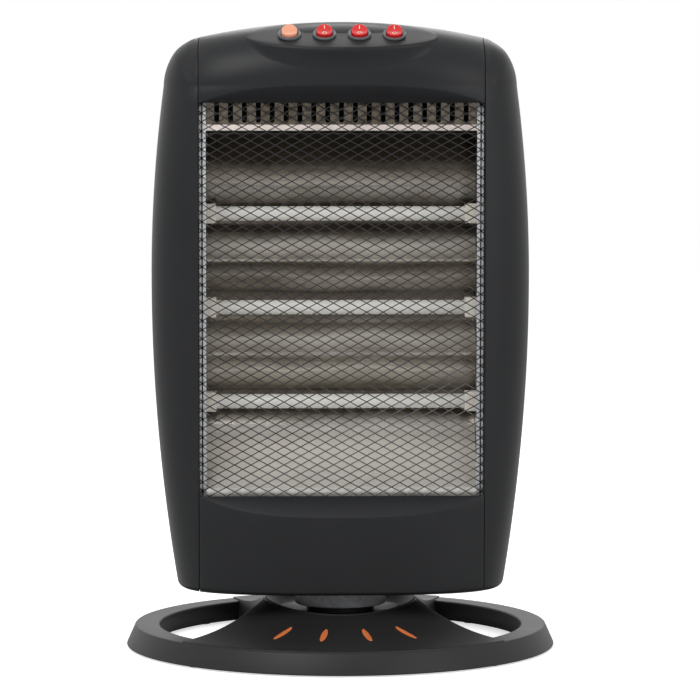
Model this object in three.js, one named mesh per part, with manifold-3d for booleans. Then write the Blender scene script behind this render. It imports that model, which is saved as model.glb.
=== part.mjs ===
// Free-standing halogen heater: three quartz tubes in a polished reflector behind a diamond wire
// guard, in a moulded body that swings from side to side on a ring-shaped base.
// Millimetres, +Z up. The origin is on the floor, under the axis the body swings about. Front is -Y.

import * as THREE from 'three';
import { mergeVertices } from 'three/addons/utils/BufferGeometryUtils.js';
import Module from 'manifold-3d';

const wasm = await Module();
wasm.setup();

// ---------------------------------------------------------------- driving dimensions

const clearance = 0.3; // between pieces that meet
const wall = 2.5; // moulded housing
const sheet = 1.0; // folded metal

// Body outline, seen from the front
const bodyFloorZ = 46;
const waistZ = 283; // widest level
const seamX = 108; // between the centre and side covers
const seamGap = 0.6;
const sideCoverWidth = 36.6; // at the waist
const waistHalf = seamX + sideCoverWidth;
const lowerSideRadius = 1394; // bow of the sides, below and above the waist
const upperSideRadius = 1100;
const crownZ = 478;
const shoulderDrop = 48; // from the crown to where the top corners start
const shoulderZ = crownZ - shoulderDrop;
const shoulderPower = 1.85;
const heelRadius = 9; // bottom corners
const crownRadius = 510; // bow of the top edge
const crownRoll = 38; // radius of the top's roll to the front and back
const rollLimit = 0.85; // share of the half width past which the roll no longer narrows

// Body outline, seen from above
const frontDepth = 65;
const rearSeamY = 38; // between the side covers and the rear cover
const rearCoverDepth = 14;
const rearDepth = rearSeamY + rearCoverDepth;
const frontPower = 3; // superellipse powers
const rearPower = 4;
const beyond = crownZ + waistHalf; // past everything

// Window for the guard
const windowBottomZ = 120.3;
const windowTopDrop = 61; // below the crown
const windowTopZ = crownZ - windowTopDrop;
const bevelY = -52.2; // where the bevels end, in front of the guard
const lowerBevelRise = 15; // height of each bevel at the centre line
const upperBevelRise = 13;

// Wire guard
const guardY = -48.2;
const guardInset = 5; // from the seam to the fold of the guard's sides
const guardHalf = seamX - guardInset;
const guardFold = 9.9; // length of each folded side
const guardFoldAngle = THREE.MathUtils.degToRad(45);
const diamondWidth = 12.5;
const diamondHeight = 6.8;
const wireSize = 0.85;
const wireLayerGap = 0.25;
const guardRimSize = 2.4;
const guardPostSize = 2.1;
const guardRimReach = 3.5; // how far the rim hides past the window

// Reflector, end plates and vent strip
const chassisInset = 3.2; // from the seam to the inner face of the end plates
const chassisX = seamX - chassisInset;
const flangeY = -42; // front of the end plates' flanges
const flangeIn = 2.4; // the flanges' reach to each side of the plates
const flangeOut = 1.6;
const flangeTuck = 6; // how far the flanges go below the window
const chassisRearY = 30;
const plateSetback = 8; // of the end plates below the flanges
const plateFoot = 14; // width of the plates' feet
const reflectorBackY = 22;
const ridgeY = -8;
const ridgeLowZ = 225;
const ridgeHighZ = 297;
const troughReach = 39; // the outer troughs' deepest line, from the nearer ridge
const reflectorBottomZ = 125;
const reflectorSkirt = 12;
const ventReach = 4; // how far the vent strip hides above the window
const ventHeight = 21.4;
const ventBottomZ = windowTopZ + ventReach - ventHeight;
const ventGap = 5.6;
const reflectorTopZ = ventBottomZ - ventGap;
const ventLip = 4.2; // height and depth of the lip that slants back under the slots
const slotCount = 19;
const slotPitch = 10.45;
const slotWidth = 3.8;
const slotRise = 2.4; // slots' lower ends above the strip's edge
const slotBottomZ = ventBottomZ + slotRise;
const slotHeight = 17;

// Quartz tubes
const tubeZ = [189.1, 261.1, 332.8];
const tubeY = -12;
const tubeRadius = 5.5;
const tubeWall = 1;
const filamentRadius = 1.1;
const capLength = 9.5;
const capHeight = 15;
const capDepth = 15;
const capFloor = 3.5;

// Control pod on the top front edge
const podHalf = 72;
const podLipY = -72;
const podLipDrop = 20.1; // below the crown
const podLipZ = crownZ - podLipDrop;
const podLipEdge = 2.4;
const podBackY = -35;
const podTipY = -44.5;
const podTipDrop = 11.5;
const podTipZ = crownZ - podTipDrop;
const podChinDrop = 37.7;
const podChinZ = crownZ - podChinDrop;
const podRootY = -15; // buried in the top of the body

// Round rocker switches
const switchCount = 4;
const switchPitch = 26.2;
const switchBack = 0.49; // their place on the panel, from its front lip to its back edge
const bezelRadius = 8.9;
const bezelHeight = 1.8;
const barrelRadius = 8.1;
const barrelDepth = 13;
const rockerRadius = 6.2;
const rockerHalfWidth = 5.9;
const rockerSwing = THREE.MathUtils.degToRad(14); // to each side of level
const rockerPivot = 0.4; // above the bezel's seat
const rockerEndHeight = 6.6;
const rockerDip = 1.6; // middle of the rocker, below its ends
const rockerDepth = 3.4;
const pocketDepth = 5.2;

// Base
const baseFloorZ = 1.2; // the shell stands this high on its pads
const baseWall = 2.5;
const ringFootRadius = 165;
const ringTopRadius = 158;
const ringBoreRadius = 139;
const ringBoreFootRadius = 142.5;
const ringHeight = 17;
const ringSoftEdge = 1.2;
const humpEdgeRadius = 158;
const humpStep = 1; // the hump's edge stands proud of the ring
const humpPower = 1.9;
const humpWaistHalf = 60;
const humpFrontY = 85.4; // crease meets the ring this far forward, and this far out
const humpFrontHalf = 106.8;
const humpFrontPower = 1.3;
const humpRearY = 112;
const humpRearHalf = 78;
const humpRearPower = 1.5;
const dishRimRadius = 57;
const dishRimSideZ = 36;
const dishRimFrontZ = 30.5;
const dishFloorRadius = 51;
const dishFloorZ = 27;

// Glowing-coal coloured inlays on the front slope
const inlayAngles = [-25.6, -8.1, 9.6, 26.6].map(THREE.MathUtils.degToRad);
const inlayStart = 89;
const inlayLength = 31;
const inlayWidth = 4.6;
const inlayDepth = 1.2;
const inlayProud = 0.4;

// Turntable, motor and oscillation drive
const collarMargin = 3; // from the collar to the rear seam
const collarRadius = rearSeamY - collarMargin;
const collarZ = 32;
const collarWall = 2.5;
const collarFlange = 9;
const spindleRadius = 13.5;
const spindleBore = 9;
const thrustInner = 16;
const thrustOuter = 26;
const armZ = 20.3;
const armThickness = 2.5;
const armHubWall = 6;
const motorY = 38;
const motorRadius = 24;
const motorHeight = 13;
const motorShaftRadius = 2.5;
const motorEarRadius = 5;
const motorScrewRadius = 1.8;
const crankThrow = 24;
const crankPinRadius = 2.5;
const crankHubRadius = 6;
const crankThickness = 2.7;
const slotSide = 1.3; // side clearance of the crank pin in the arm's slot
const armRim = 4;

// Underneath
const plateThickness = 2;
const motorVentHalf = 14; // slots in the underplate, below the motor
const motorVentPitch = 8;
const motorVentWidth = 2.4;
const padRadius = 7;
const padRingRadius = 153.2;
const padAngles = [45, 135, 225, 315].map(THREE.MathUtils.degToRad);
const tipSwitchY = -92;
const tipSwitchSize = 15;
const tipSwitchHeight = 14;
const plungerRadius = 3;
const plungerFoot = 0.2; // plunger's end above the floor
const plungerStroke = 4;
const plungerHead = 1.5;
const plungerGuide = 4; // height of the guide round it
const glandRadius = 4.2;
const glandBore = 3;
const glandFlange = 0.8;
const glandDepth = 8; // its flange, behind the wall
const glandZ = 9.2;

// Rear cover
const louvreRows = 7;
const louvrePitch = 19;
const louvreBottomZ = 180;
const louvreLength = 68;
const louvreOffset = 46; // centre of each column
const louvreOpening = 4;
const louvreSlope = 0.5;
const gripHalf = 48;
const gripDrop = 64; // from the crown to the grip's floor
const gripBottomZ = crownZ - gripDrop;
const gripHeight = 26;
const gripDepth = 14;

// Parts held inside
const cutoutRadius = 8;
const cutoutHeight = 6;
const terminalSize = new THREE.Vector3(34, 18, 14);
const terminalX = 66;
const terminalPitch = 10.5;
const terminalWay = 7; // width of each way
const terminalFloor = 3;

// ---------------------------------------------------------------- solids

// A closed geometry as a solid that can be cut and joined
function solid(geometry) {
  const bare = geometry.index ? geometry.clone() : geometry;
  bare.deleteAttribute('normal');
  bare.deleteAttribute('uv');
  const merged = mergeVertices(bare, 1e-4);
  const positions = new Float32Array(merged.attributes.position.array);
  const triangles = new Uint32Array(merged.index.array);
  return new wasm.Manifold(new wasm.Mesh({ numProp: 3, vertProperties: positions, triVerts: triangles }));
}

function geometryOf(manifold) {
  const mesh = manifold.getMesh();
  const geometry = new THREE.BufferGeometry();
  geometry.setAttribute('position', new THREE.BufferAttribute(new Float32Array(mesh.vertProperties), 3));
  geometry.setIndex(new THREE.BufferAttribute(new Uint32Array(mesh.triVerts), 1));
  const flat = geometry.toNonIndexed();
  flat.computeVertexNormals();
  return flat;
}

const cut = (first, ...others) => others.reduce((rest, other) => rest.subtract(other), first);
const join = (first, ...others) => others.reduce((sum, other) => sum.add(other), first);
const overlap = (first, ...others) => others.reduce((rest, other) => rest.intersect(other), first);

function block(x0, x1, y0, y1, z0, z1) {
  const geometry = new THREE.BoxGeometry(x1 - x0, y1 - y0, z1 - z0);
  return solid(geometry.translate((x0 + x1) / 2, (y0 + y1) / 2, (z0 + z1) / 2));
}

// An outline of Vector2 (y, z) drawn out along X
function prismX(outline, x0, x1, holes = []) {
  const shape = new THREE.Shape(outline);
  shape.holes = holes.map((hole) => new THREE.Path(hole));
  const geometry = new THREE.ExtrudeGeometry(shape, { depth: x1 - x0, bevelEnabled: false });
  const turn = new THREE.Matrix4().makeBasis(
    new THREE.Vector3(0, 1, 0), new THREE.Vector3(0, 0, 1), new THREE.Vector3(1, 0, 0));
  return solid(geometry.applyMatrix4(turn).translate(x0, 0, 0));
}

// An outline of Vector2 (x, z) drawn out along Y
function prismY(outline, y0, y1, holes = []) {
  const shape = new THREE.Shape(outline);
  shape.holes = holes.map((hole) => new THREE.Path(hole));
  const geometry = new THREE.ExtrudeGeometry(shape, { depth: y1 - y0, bevelEnabled: false });
  return solid(geometry.rotateX(Math.PI / 2).translate(0, y1, 0));
}

// An outline of Vector2 (x, y) drawn up along Z
function prismZ(outline, z0, z1) {
  const geometry = new THREE.ExtrudeGeometry(new THREE.Shape(outline), { depth: z1 - z0, bevelEnabled: false });
  return solid(geometry.translate(0, 0, z0));
}

const v2 = (a, b) => new THREE.Vector2(a, b);

// A closed profile of (radius, z) turned about Z
function turned(profile, segments = 48) {
  const points = profile.map(([radius, z]) => v2(radius, z));
  if (points[0].x > 0) points.push(points[0].clone());
  return solid(new THREE.LatheGeometry(points, segments).rotateX(Math.PI / 2));
}

const disc = (radius, z0, z1, segments = 32) => turned([[0, z0], [radius, z0], [radius, z1], [0, z1]], segments);

function tubeRing(inner, outer, z0, z1, segments = 48) {
  return turned([[inner, z0], [outer, z0], [outer, z1], [inner, z1]], segments);
}

// A skin over rings that have the same number of points, capped at both ends
function loft(sections, flatten) {
  const forward = THREE.ShapeUtils.area(sections[0].map(flatten)) > 0;
  const rings = forward ? sections : sections.map((ring) => ring.slice().reverse());
  const count = rings[0].length;
  const positions = rings.flat().flatMap((point) => [point.x, point.y, point.z]);
  const index = [];
  for (let r = 0; r < rings.length - 1; r += 1) {
    for (let i = 0; i < count; i += 1) {
      const a = r * count + i;
      const b = r * count + ((i + 1) % count);
      index.push(a, b, a + count, b, b + count, a + count);
    }
  }
  const last = (rings.length - 1) * count;
  const cap = (ring) => THREE.ShapeUtils.triangulateShape(ring.map(flatten), []);
  cap(rings[0]).forEach(([a, b, c]) => index.push(a, c, b));
  cap(rings.at(-1)).forEach(([a, b, c]) => index.push(last + a, last + b, last + c));
  const geometry = new THREE.BufferGeometry();
  geometry.setAttribute('position', new THREE.Float32BufferAttribute(positions, 3));
  geometry.setIndex(index);
  return solid(geometry);
}

const steps = (from, to, count) => Array.from({ length: count + 1 }, (_, i) => from + ((to - from) * i) / count);

// ---------------------------------------------------------------- body form

// Half width of the body at a height
function sideHalf(z) {
  const radius = z < waistZ ? lowerSideRadius : upperSideRadius;
  const bow = (level) => waistHalf - (level - waistZ) ** 2 / (2 * radius);
  if (z < bodyFloorZ + heelRadius) {
    const drop = (bodyFloorZ + heelRadius - z) / heelRadius;
    return bow(z) - heelRadius * (1 - Math.sqrt(Math.max(0, 1 - drop * drop)));
  }
  if (z <= shoulderZ) return bow(z);
  const rise = Math.min(1, (z - shoulderZ) / (crownAt(seamX) - shoulderZ));
  const swell = (1 - rise ** shoulderPower) ** (1 / shoulderPower);
  return seamX + (bow(shoulderZ) - seamX) * swell;
}

// Height of the top edge, seen from the front
function crownAt(x) {
  return crownZ - x * x / (2 * crownRadius);
}

// Depth of the body at a place across it, at the level where its top starts to roll
function depthAt(x, depth, power) {
  const across = Math.min(rollLimit, Math.abs(x) / sideHalf(crownZ - crownRoll));
  return depth * (1 - across ** power) ** (1 / power);
}

// The body's pillar, without its rounded top; inset gives the inside of the walls
function pillar(inset) {
  const sides = inset ? 28 : 36;
  const corner = steps(0, 1, inset ? 3 : 5).map((t) => shoulderZ + (crownAt(seamX) - shoulderZ) * Math.sin(t * Math.PI / 2));
  const heel = steps(0, 1, inset ? 1 : 2).map((t) => bodyFloorZ + heelRadius * (1 - Math.cos(t * Math.PI / 2)));
  const low = steps(bodyFloorZ + heelRadius, waistZ, 3).slice(1);
  const high = steps(waistZ, shoulderZ, 2).slice(1, -1);
  const levels = [...heel, ...low, ...high, ...corner, crownZ + wall].map((z) => Math.max(z, bodyFloorZ + inset));
  const rings = [...new Set(levels)].map((z) => steps(0, 2 * Math.PI, sides).slice(0, -1).map((angle) => {
    const [c, s] = [Math.cos(angle), Math.sin(angle)];
    const [depth, power] = s < 0 ? [frontDepth, frontPower] : [rearDepth, rearPower];
    const x = (sideHalf(z) - inset) * Math.sign(c) * Math.abs(c) ** (2 / power);
    const y = (depth - inset) * Math.sign(s) * Math.abs(s) ** (2 / power);
    return new THREE.Vector3(x, y, z);
  }));
  return loft(rings, (point) => v2(point.x, point.y));
}

// Everything under the rolled top surface
function underCrown(inset) {
  const reach = 1.07 * waistHalf;
  const [stations, frontSteps, rearSteps] = inset ? [6, 3, 2] : [12, 5, 3];
  const rings = steps(-reach, reach, stations).map((x) => {
    const top = crownAt(x) - inset;
    const front = -depthAt(x, frontDepth, frontPower) + inset;
    const rear = depthAt(x, rearDepth, rearPower) - inset;
    const roll = crownRoll - inset;
    const frontArc = steps(0, Math.PI / 2, frontSteps).map((a) => [front + roll * (1 - Math.cos(a)), top - roll * (1 - Math.sin(a))]);
    const rearArc = steps(Math.PI / 2, 0, rearSteps).map((a) => [rear - roll * (1 - Math.cos(a)), top - roll * (1 - Math.sin(a))]);
    const outline = [[-beyond, -beyond], [-beyond, top - roll], ...frontArc,
      ...rearArc, [beyond, top - roll], [beyond, -beyond]];
    return outline.map(([y, z]) => new THREE.Vector3(x, y, z));
  });
  return loft(rings, (point) => v2(point.y, point.z));
}

// Place on the rolled front of the top cover, across the body and at a height
function frontSurface(x, z) {
  const front = -depthAt(x, frontDepth, frontPower);
  const rise = Math.max(0, z - (crownAt(x) - crownRoll));
  return front + crownRoll - Math.sqrt(Math.max(0, crownRoll ** 2 - rise ** 2));
}

// Section of the control pod at a share of its half length: back edge, lip, chin and root
function podSection(share) {
  const fade = 1 - Math.sqrt(Math.max(0, 1 - share * share));
  const mix = (middle, tip) => middle + (tip - middle) * fade;
  const x = share * podHalf;
  const lipZ = mix(podLipZ, podTipZ);
  const chinZ = mix(podChinZ, podTipZ - podLipEdge - 0.5);
  const lipY = mix(podLipY, podTipY);
  return [[mix(podBackY, podTipY + 1), mix(crownZ, podTipZ + 0.5)], [lipY, lipZ], [lipY, lipZ - podLipEdge],
    [frontSurface(x, chinZ) + 0.2, chinZ], [podRootY, chinZ]];
}

// A convex outline moved inwards
function shrink(outline, distance) {
  const points = outline.map(([a, b]) => v2(a, b));
  const turn = Math.sign(THREE.ShapeUtils.area(points));
  const edges = points.map((point, i) => {
    const along = points[(i + 1) % points.length].clone().sub(point).normalize();
    const inward = v2(-along.y, along.x).multiplyScalar(turn * distance);
    return { start: point.clone().add(inward), along };
  });
  return edges.map((edge, i) => {
    const before = edges[(i + edges.length - 1) % edges.length];
    const cross = before.along.x * edge.along.y - before.along.y * edge.along.x;
    const offset = edge.start.clone().sub(before.start);
    const t = (offset.x * edge.along.y - offset.y * edge.along.x) / cross;
    return [before.start.x + before.along.x * t, before.start.y + before.along.y * t];
  });
}

function pod(inset) {
  const end = inset ? 0.78 : 1;
  const rings = steps(-end, end, inset ? 4 : 10).map((share) => {
    const section = podSection(share);
    const outline = inset ? shrink(section, inset) : section;
    return outline.map(([y, z]) => new THREE.Vector3(share * podHalf, y, z));
  });
  return loft(rings, (point) => v2(point.y, point.z));
}

const bodyOuter = overlap(pillar(0), underCrown(0));
const bodyInner = overlap(pillar(wall), underCrown(wall));

// ---------------------------------------------------------------- moulded covers

const centreHalf = seamX - seamGap / 2;
const sideStart = seamX + seamGap / 2;
const upperSlope = upperBevelRise / (frontDepth + bevelY);
const lowerSlope = lowerBevelRise / (frontDepth + bevelY);

// Side view of what a centre cover keeps: everything past its bevel, down or up from the window
function pastBevel(edgeZ, slope, direction, inset) {
  const shift = inset * Math.hypot(1, slope) / slope;
  const startY = bevelY + (inset ? wall : 0);
  const bevelAt = (y) => edgeZ + direction * slope * (bevelY - y + (inset ? shift : 0));
  const outline = [v2(-beyond, bevelAt(-beyond)), v2(startY, bevelAt(startY))];
  if (inset) outline.push(v2(startY, edgeZ - direction * beyond));
  const rearY = inset ? beyond : rearSeamY;
  outline.push(v2(rearY, inset ? edgeZ - direction * beyond : edgeZ), v2(rearY, edgeZ + direction * beyond * 2));
  outline.push(v2(-beyond, edgeZ + direction * beyond * 2));
  return prismX(outline, -beyond, beyond);
}

const centreStrip = block(-centreHalf, centreHalf, -beyond, beyond, -beyond, 2 * beyond);

function switchFrame(i) {
  const x = (i - (switchCount - 1) / 2) * switchPitch;
  const [back, lip] = podSection(x / podHalf);
  const y = lip[0] + (back[0] - lip[0]) * switchBack;
  const z = lip[1] + (back[1] - lip[1]) * switchBack;
  const tilt = Math.atan2(back[1] - lip[1], back[0] - lip[0]);
  return new THREE.Matrix4().makeTranslation(x, y, z).multiply(new THREE.Matrix4().makeRotationX(tilt));
}

// A solid drawn about the origin, moved to a place
const placed = (geometrySolid, matrix) => geometrySolid.transform(matrix.elements);

function frontTopCover() {
  const outer = overlap(join(bodyOuter, pod(0)), pastBevel(windowTopZ, upperSlope, 1, 0), centreStrip);
  const inner = overlap(join(bodyInner, pod(wall)), pastBevel(windowTopZ, upperSlope, 1, wall));
  const holes = steps(0, switchCount - 1, switchCount - 1).flatMap((i) => [
    placed(disc(barrelRadius + clearance, -barrelDepth, barrelDepth, 14), switchFrame(i)),
    placed(disc(bezelRadius + clearance, -clearance, barrelDepth, 14), switchFrame(i))]);
  return cut(outer, inner, ...holes);
}

function frontBottomCover() {
  const outer = overlap(bodyOuter, pastBevel(windowBottomZ, lowerSlope, -1, 0), centreStrip);
  const inner = overlap(bodyInner, pastBevel(windowBottomZ, lowerSlope, -1, wall));
  return cut(outer, inner, disc(collarRadius + 2 * clearance, 0, 2 * bodyFloorZ, 24));
}

function sideCover(sign) {
  const [x0, x1] = sign > 0 ? [sideStart, beyond] : [-beyond, -sideStart];
  return cut(overlap(bodyOuter, block(x0, x1, -beyond, rearSeamY, -beyond, 2 * beyond)), bodyInner);
}

function rearCover() {
  const skin = cut(overlap(bodyOuter, block(-beyond, beyond, rearSeamY + clearance, beyond, -beyond, 2 * beyond)), bodyInner);
  const cup = block(-gripHalf - wall, gripHalf + wall, rearDepth - wall - gripDepth, rearDepth - 1.2,
    gripBottomZ - wall, gripBottomZ + gripHeight + wall);
  const hollow = block(-gripHalf, gripHalf, rearDepth - gripDepth, beyond, gripBottomZ, gripBottomZ + gripHeight);
  const slots = [];
  for (let row = 0; row < louvreRows; row += 1) {
    const z = louvreBottomZ + row * louvrePitch;
    const [front, rear] = [-4 * wall, 2 * wall];
    const slant = [v2(rearDepth + front, z - louvreSlope * front), v2(rearDepth + rear, z - louvreSlope * rear),
      v2(rearDepth + rear, z - louvreSlope * rear + louvreOpening), v2(rearDepth + front, z - louvreSlope * front + louvreOpening)];
    for (const side of [-1, 1]) {
      const middle = side * louvreOffset;
      slots.push(prismX(slant, middle - louvreLength / 2, middle + louvreLength / 2));
    }
  }
  return cut(join(skin, cup), hollow, ...slots);
}

// ---------------------------------------------------------------- wire guard

// A place on the folded guard from its flat pattern, at a distance in front of its middle plane
function onGuard(u, v, ahead) {
  const past = Math.max(0, Math.abs(u) - guardHalf);
  const lean = past > 0 ? guardFoldAngle : Math.abs(Math.abs(u) - guardHalf) < 1e-6 ? guardFoldAngle / 2 : 0;
  const mitre = Math.abs(Math.abs(u) - guardHalf) < 1e-6 ? 1 / Math.cos(guardFoldAngle / 2) : 1;
  const side = Math.sign(u);
  const x = side * (Math.min(Math.abs(u), guardHalf) + past * Math.cos(guardFoldAngle));
  const y = guardY + past * Math.sin(guardFoldAngle);
  return new THREE.Vector3(x + side * Math.sin(lean) * ahead * mitre, y - Math.cos(lean) * ahead * mitre, v);
}

// Corners of a rod's section, across and out of the guard, as shares of its size
const wireSection = [[-0.5, -0.45], [0.5, -0.45], [0, 0.5]];
const rimSection = [[-0.5, -0.5], [0.5, -0.5], [0.5, 0.5], [-0.5, 0.5]];

// A rod laid along a line of the flat pattern, bent where it crosses a fold
function foldedRod(start, end, size, ahead, corners) {
  const slope = (end.y - start.y) / (end.x - start.x);
  const stretch = Math.hypot(1, slope);
  const stops = [start.x, ...[-guardHalf, guardHalf].filter((u) => u > start.x + 0.5 && u < end.x - 0.5), end.x];
  const rings = stops.map((u) => {
    const v = start.y + slope * (u - start.x);
    return corners.map(([across, out]) => onGuard(u, v + across * size * stretch, ahead + out * size));
  });
  return loft(rings, (point) => v2(point.y, point.z));
}

function guardGrille() {
  const reach = guardHalf + guardFold;
  const low = windowBottomZ - guardRimReach;
  const high = windowTopZ + guardRimReach;
  const slope = diamondHeight / diamondWidth;
  const rods = [];
  for (const [direction, ahead] of [[1, (wireSize + wireLayerGap) / 2], [-1, -(wireSize + wireLayerGap) / 2]]) {
    const spread = slope * reach;
    const first = low - spread + diamondHeight / 2;
    for (let level = first; level < high + spread; level += diamondHeight) {
      const atU = (v) => (v - level) / (direction * slope);
      const ends = [atU(low), atU(high)].sort((a, b) => a - b);
      const u0 = Math.max(-reach, ends[0]);
      const u1 = Math.min(reach, ends[1]);
      if (u1 - u0 < diamondWidth / 2) continue;
      const at = (u) => v2(u, level + direction * slope * u);
      rods.push(foldedRod(at(u0), at(u1), wireSize, ahead, wireSection));
    }
  }
  for (const v of [low, high]) rods.push(foldedRod(v2(-reach, v), v2(reach, v), guardRimSize, 0, rimSection));
  for (const side of [-1, 1]) {
    const post = rimSection.map(([across, out]) => onGuard(side * (reach + across * guardPostSize), 0, out * guardPostSize));
    rods.push(prismZ(post.map(({ x, y }) => v2(x, y)), low - guardPostSize / 2, high + guardPostSize / 2));
  }
  return wasm.Manifold.union(rods);
}

// ---------------------------------------------------------------- reflector and chassis

// Centre line of the reflector sheet from its bottom lip to its top lip, as (y, z)
function reflectorLine() {
  const front = flangeY + sheet + clearance + sheet / 2;
  const lowDeepZ = ridgeLowZ - troughReach;
  const highDeepZ = ridgeHighZ + troughReach;
  const middleZ = (ridgeLowZ + ridgeHighZ) / 2;
  const bowl = (z, deepZ, endZ, endY, power) => {
    const share = Math.abs(z - deepZ) / Math.abs(endZ - deepZ);
    return reflectorBackY - (reflectorBackY - endY) * share ** power;
  };
  const line = [[front, reflectorBottomZ - reflectorSkirt]];
  steps(reflectorBottomZ, lowDeepZ, 7).forEach((z) => line.push([bowl(z, lowDeepZ, reflectorBottomZ, front, 2), z]));
  steps(lowDeepZ, ridgeLowZ, 4).slice(1).forEach((z) => line.push([bowl(z, lowDeepZ, ridgeLowZ, ridgeY, 2), z]));
  steps(ridgeLowZ, ridgeHighZ, 8).slice(1, -1).forEach((z) => line.push([bowl(z, middleZ, ridgeHighZ, ridgeY, 2), z]));
  steps(ridgeHighZ, highDeepZ, 4).forEach((z) => line.push([bowl(z, highDeepZ, ridgeHighZ, ridgeY, 2), z]));
  steps(highDeepZ, reflectorTopZ, 7).slice(1).forEach((z) => line.push([bowl(z, highDeepZ, reflectorTopZ, front, 2), z]));
  return line.map(([y, z]) => v2(y, z));
}

// A line thickened to a sheet's section
function sheetSection(line, thickness) {
  const side = (sign) => line.map((point, i) => {
    const before = line[Math.max(0, i - 1)];
    const after = line[Math.min(line.length - 1, i + 1)];
    const along = after.clone().sub(before).normalize();
    return point.clone().add(v2(-along.y, along.x).multiplyScalar(sign * thickness / 2));
  });
  return [...side(1), ...side(-1).reverse()];
}

function reflector() {
  const halfLength = chassisX - clearance;
  return prismX(sheetSection(reflectorLine(), sheet), -halfLength, halfLength);
}

function chassisPlate(sign) {
  const bottom = bodyFloorZ + wall + clearance;
  const top = ventBottomZ + ventHeight;
  const [x0, x1] = sign > 0 ? [chassisX, chassisX + sheet] : [-chassisX - sheet, -chassisX];
  const flangeBottom = windowBottomZ - flangeTuck;
  const side = [v2(flangeY, flangeBottom), v2(flangeY + plateSetback, bottom), v2(chassisRearY, bottom),
    v2(chassisRearY, top), v2(flangeY, top)];
  const plate = prismX(side, x0, x1);
  const flange = sign > 0
    ? block(chassisX - flangeIn, chassisX + sheet + flangeOut, flangeY, flangeY + sheet, flangeBottom, top)
    : block(-chassisX - sheet - flangeOut, -chassisX + flangeIn, flangeY, flangeY + sheet, flangeBottom, top);
  const foot = block(Math.min(x0, x1 - plateFoot * sign), Math.max(x1, x0 - plateFoot * sign), flangeY + plateSetback, chassisRearY,
    bottom, bottom + sheet);
  return join(plate, flange, foot);
}

function ventStrip() {
  const halfLength = chassisX - clearance;
  const front = flangeY + sheet + clearance;
  const top = ventBottomZ + ventHeight;
  const outline = [v2(-halfLength, ventBottomZ), v2(halfLength, ventBottomZ), v2(halfLength, top), v2(-halfLength, top)];
  const r = slotWidth / 2;
  const slots = steps(-(slotCount - 1) / 2, (slotCount - 1) / 2, slotCount - 1).map((i) => {
    const x = i * slotPitch;
    const round = steps(Math.PI, 2 * Math.PI, 3).map((a) => v2(x + r * Math.cos(a), slotBottomZ + r + r * Math.sin(a)));
    return [...round, v2(x + r, slotBottomZ + slotHeight), v2(x - r, slotBottomZ + slotHeight)];
  });
  const face = prismY(outline, front, front + sheet, slots);
  const edge = sheet / Math.SQRT2;
  const slant = [v2(front, ventBottomZ + edge / 2), v2(front + ventLip, ventBottomZ - ventLip),
    v2(front + ventLip + edge, ventBottomZ - ventLip + edge), v2(front + sheet, ventBottomZ + sheet)];
  const lip = prismX(slant, -halfLength, halfLength);
  return join(face, lip);
}

// ---------------------------------------------------------------- quartz tubes

const alongX = new THREE.Matrix4().makeRotationY(Math.PI / 2);
const capInnerX = chassisX - clearance - capLength;
const atTube = (i) => new THREE.Matrix4().makeTranslation(0, tubeY, tubeZ[i]).multiply(alongX);

function quartzTube(i) {
  const end = chassisX - clearance - capFloor - clearance;
  return placed(tubeRing(tubeRadius - tubeWall, tubeRadius, -end, end, 12), atTube(i));
}

function filament(i) {
  const end = chassisX - 2 * clearance;
  return placed(disc(filamentRadius, -end, end, 6), atTube(i));
}

function tubeCap(i, sign) {
  const outerX = chassisX - clearance;
  const z = tubeZ[i];
  const body = block(Math.min(sign * capInnerX, sign * outerX), Math.max(sign * capInnerX, sign * outerX),
    tubeY - capDepth / 2, tubeY + capDepth / 2, z - capHeight / 2, z + capHeight / 2);
  const floorX = outerX - capFloor;
  const bore = placed(disc(tubeRadius + clearance, Math.min(0, sign * floorX), Math.max(0, sign * floorX), 12), atTube(i));
  const lead = placed(disc(filamentRadius + clearance, -beyond, beyond, 6), atTube(i));
  return cut(body, bore, lead);
}

// ---------------------------------------------------------------- switches

// How far the tipped rocker reaches where it passes through the bezel
const rockerReach = rockerRadius * Math.cos(rockerSwing)
  + (bezelHeight - rockerPivot + rockerRadius * Math.sin(rockerSwing)) * Math.tan(rockerSwing);

// Drawn about the panel: X across, Y up the slope, Z out of the panel
function switchBody(i) {
  const bezel = turned([[0, -barrelDepth], [barrelRadius, -barrelDepth], [barrelRadius, 0], [bezelRadius, 0],
    [bezelRadius, bezelHeight * 0.55], [bezelRadius - 0.7, bezelHeight], [0, bezelHeight]], 14);
  const round = disc(rockerReach + clearance, -pocketDepth, barrelDepth, 14);
  const width = rockerHalfWidth + clearance;
  const pocket = overlap(round, block(-width, width, -beyond, beyond, -beyond, beyond));
  return placed(cut(bezel, pocket), switchFrame(i));
}

function rocker(i) {
  const top = rockerEndHeight - rockerPivot;
  const outline = [v2(-rockerRadius, top), v2(-rockerRadius, -0.6), v2(-rockerRadius * 0.62, -rockerDepth),
    v2(rockerRadius * 0.62, -rockerDepth), v2(rockerRadius, -0.6), v2(rockerRadius, top), v2(0, top - rockerDip)];
  const body = overlap(prismX(outline, -rockerHalfWidth, rockerHalfWidth), disc(rockerRadius, -barrelDepth, barrelDepth, 14));
  const pressed = new THREE.Matrix4().makeRotationX(rockerSwing).setPosition(0, 0, rockerPivot);
  return placed(body, switchFrame(i).multiply(pressed));
}

// ---------------------------------------------------------------- base

function rimAt(angle) {
  const middle = (dishRimSideZ + dishRimFrontZ) / 2;
  return middle + ((dishRimSideZ - dishRimFrontZ) / 2) * Math.cos(2 * angle);
}

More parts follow.
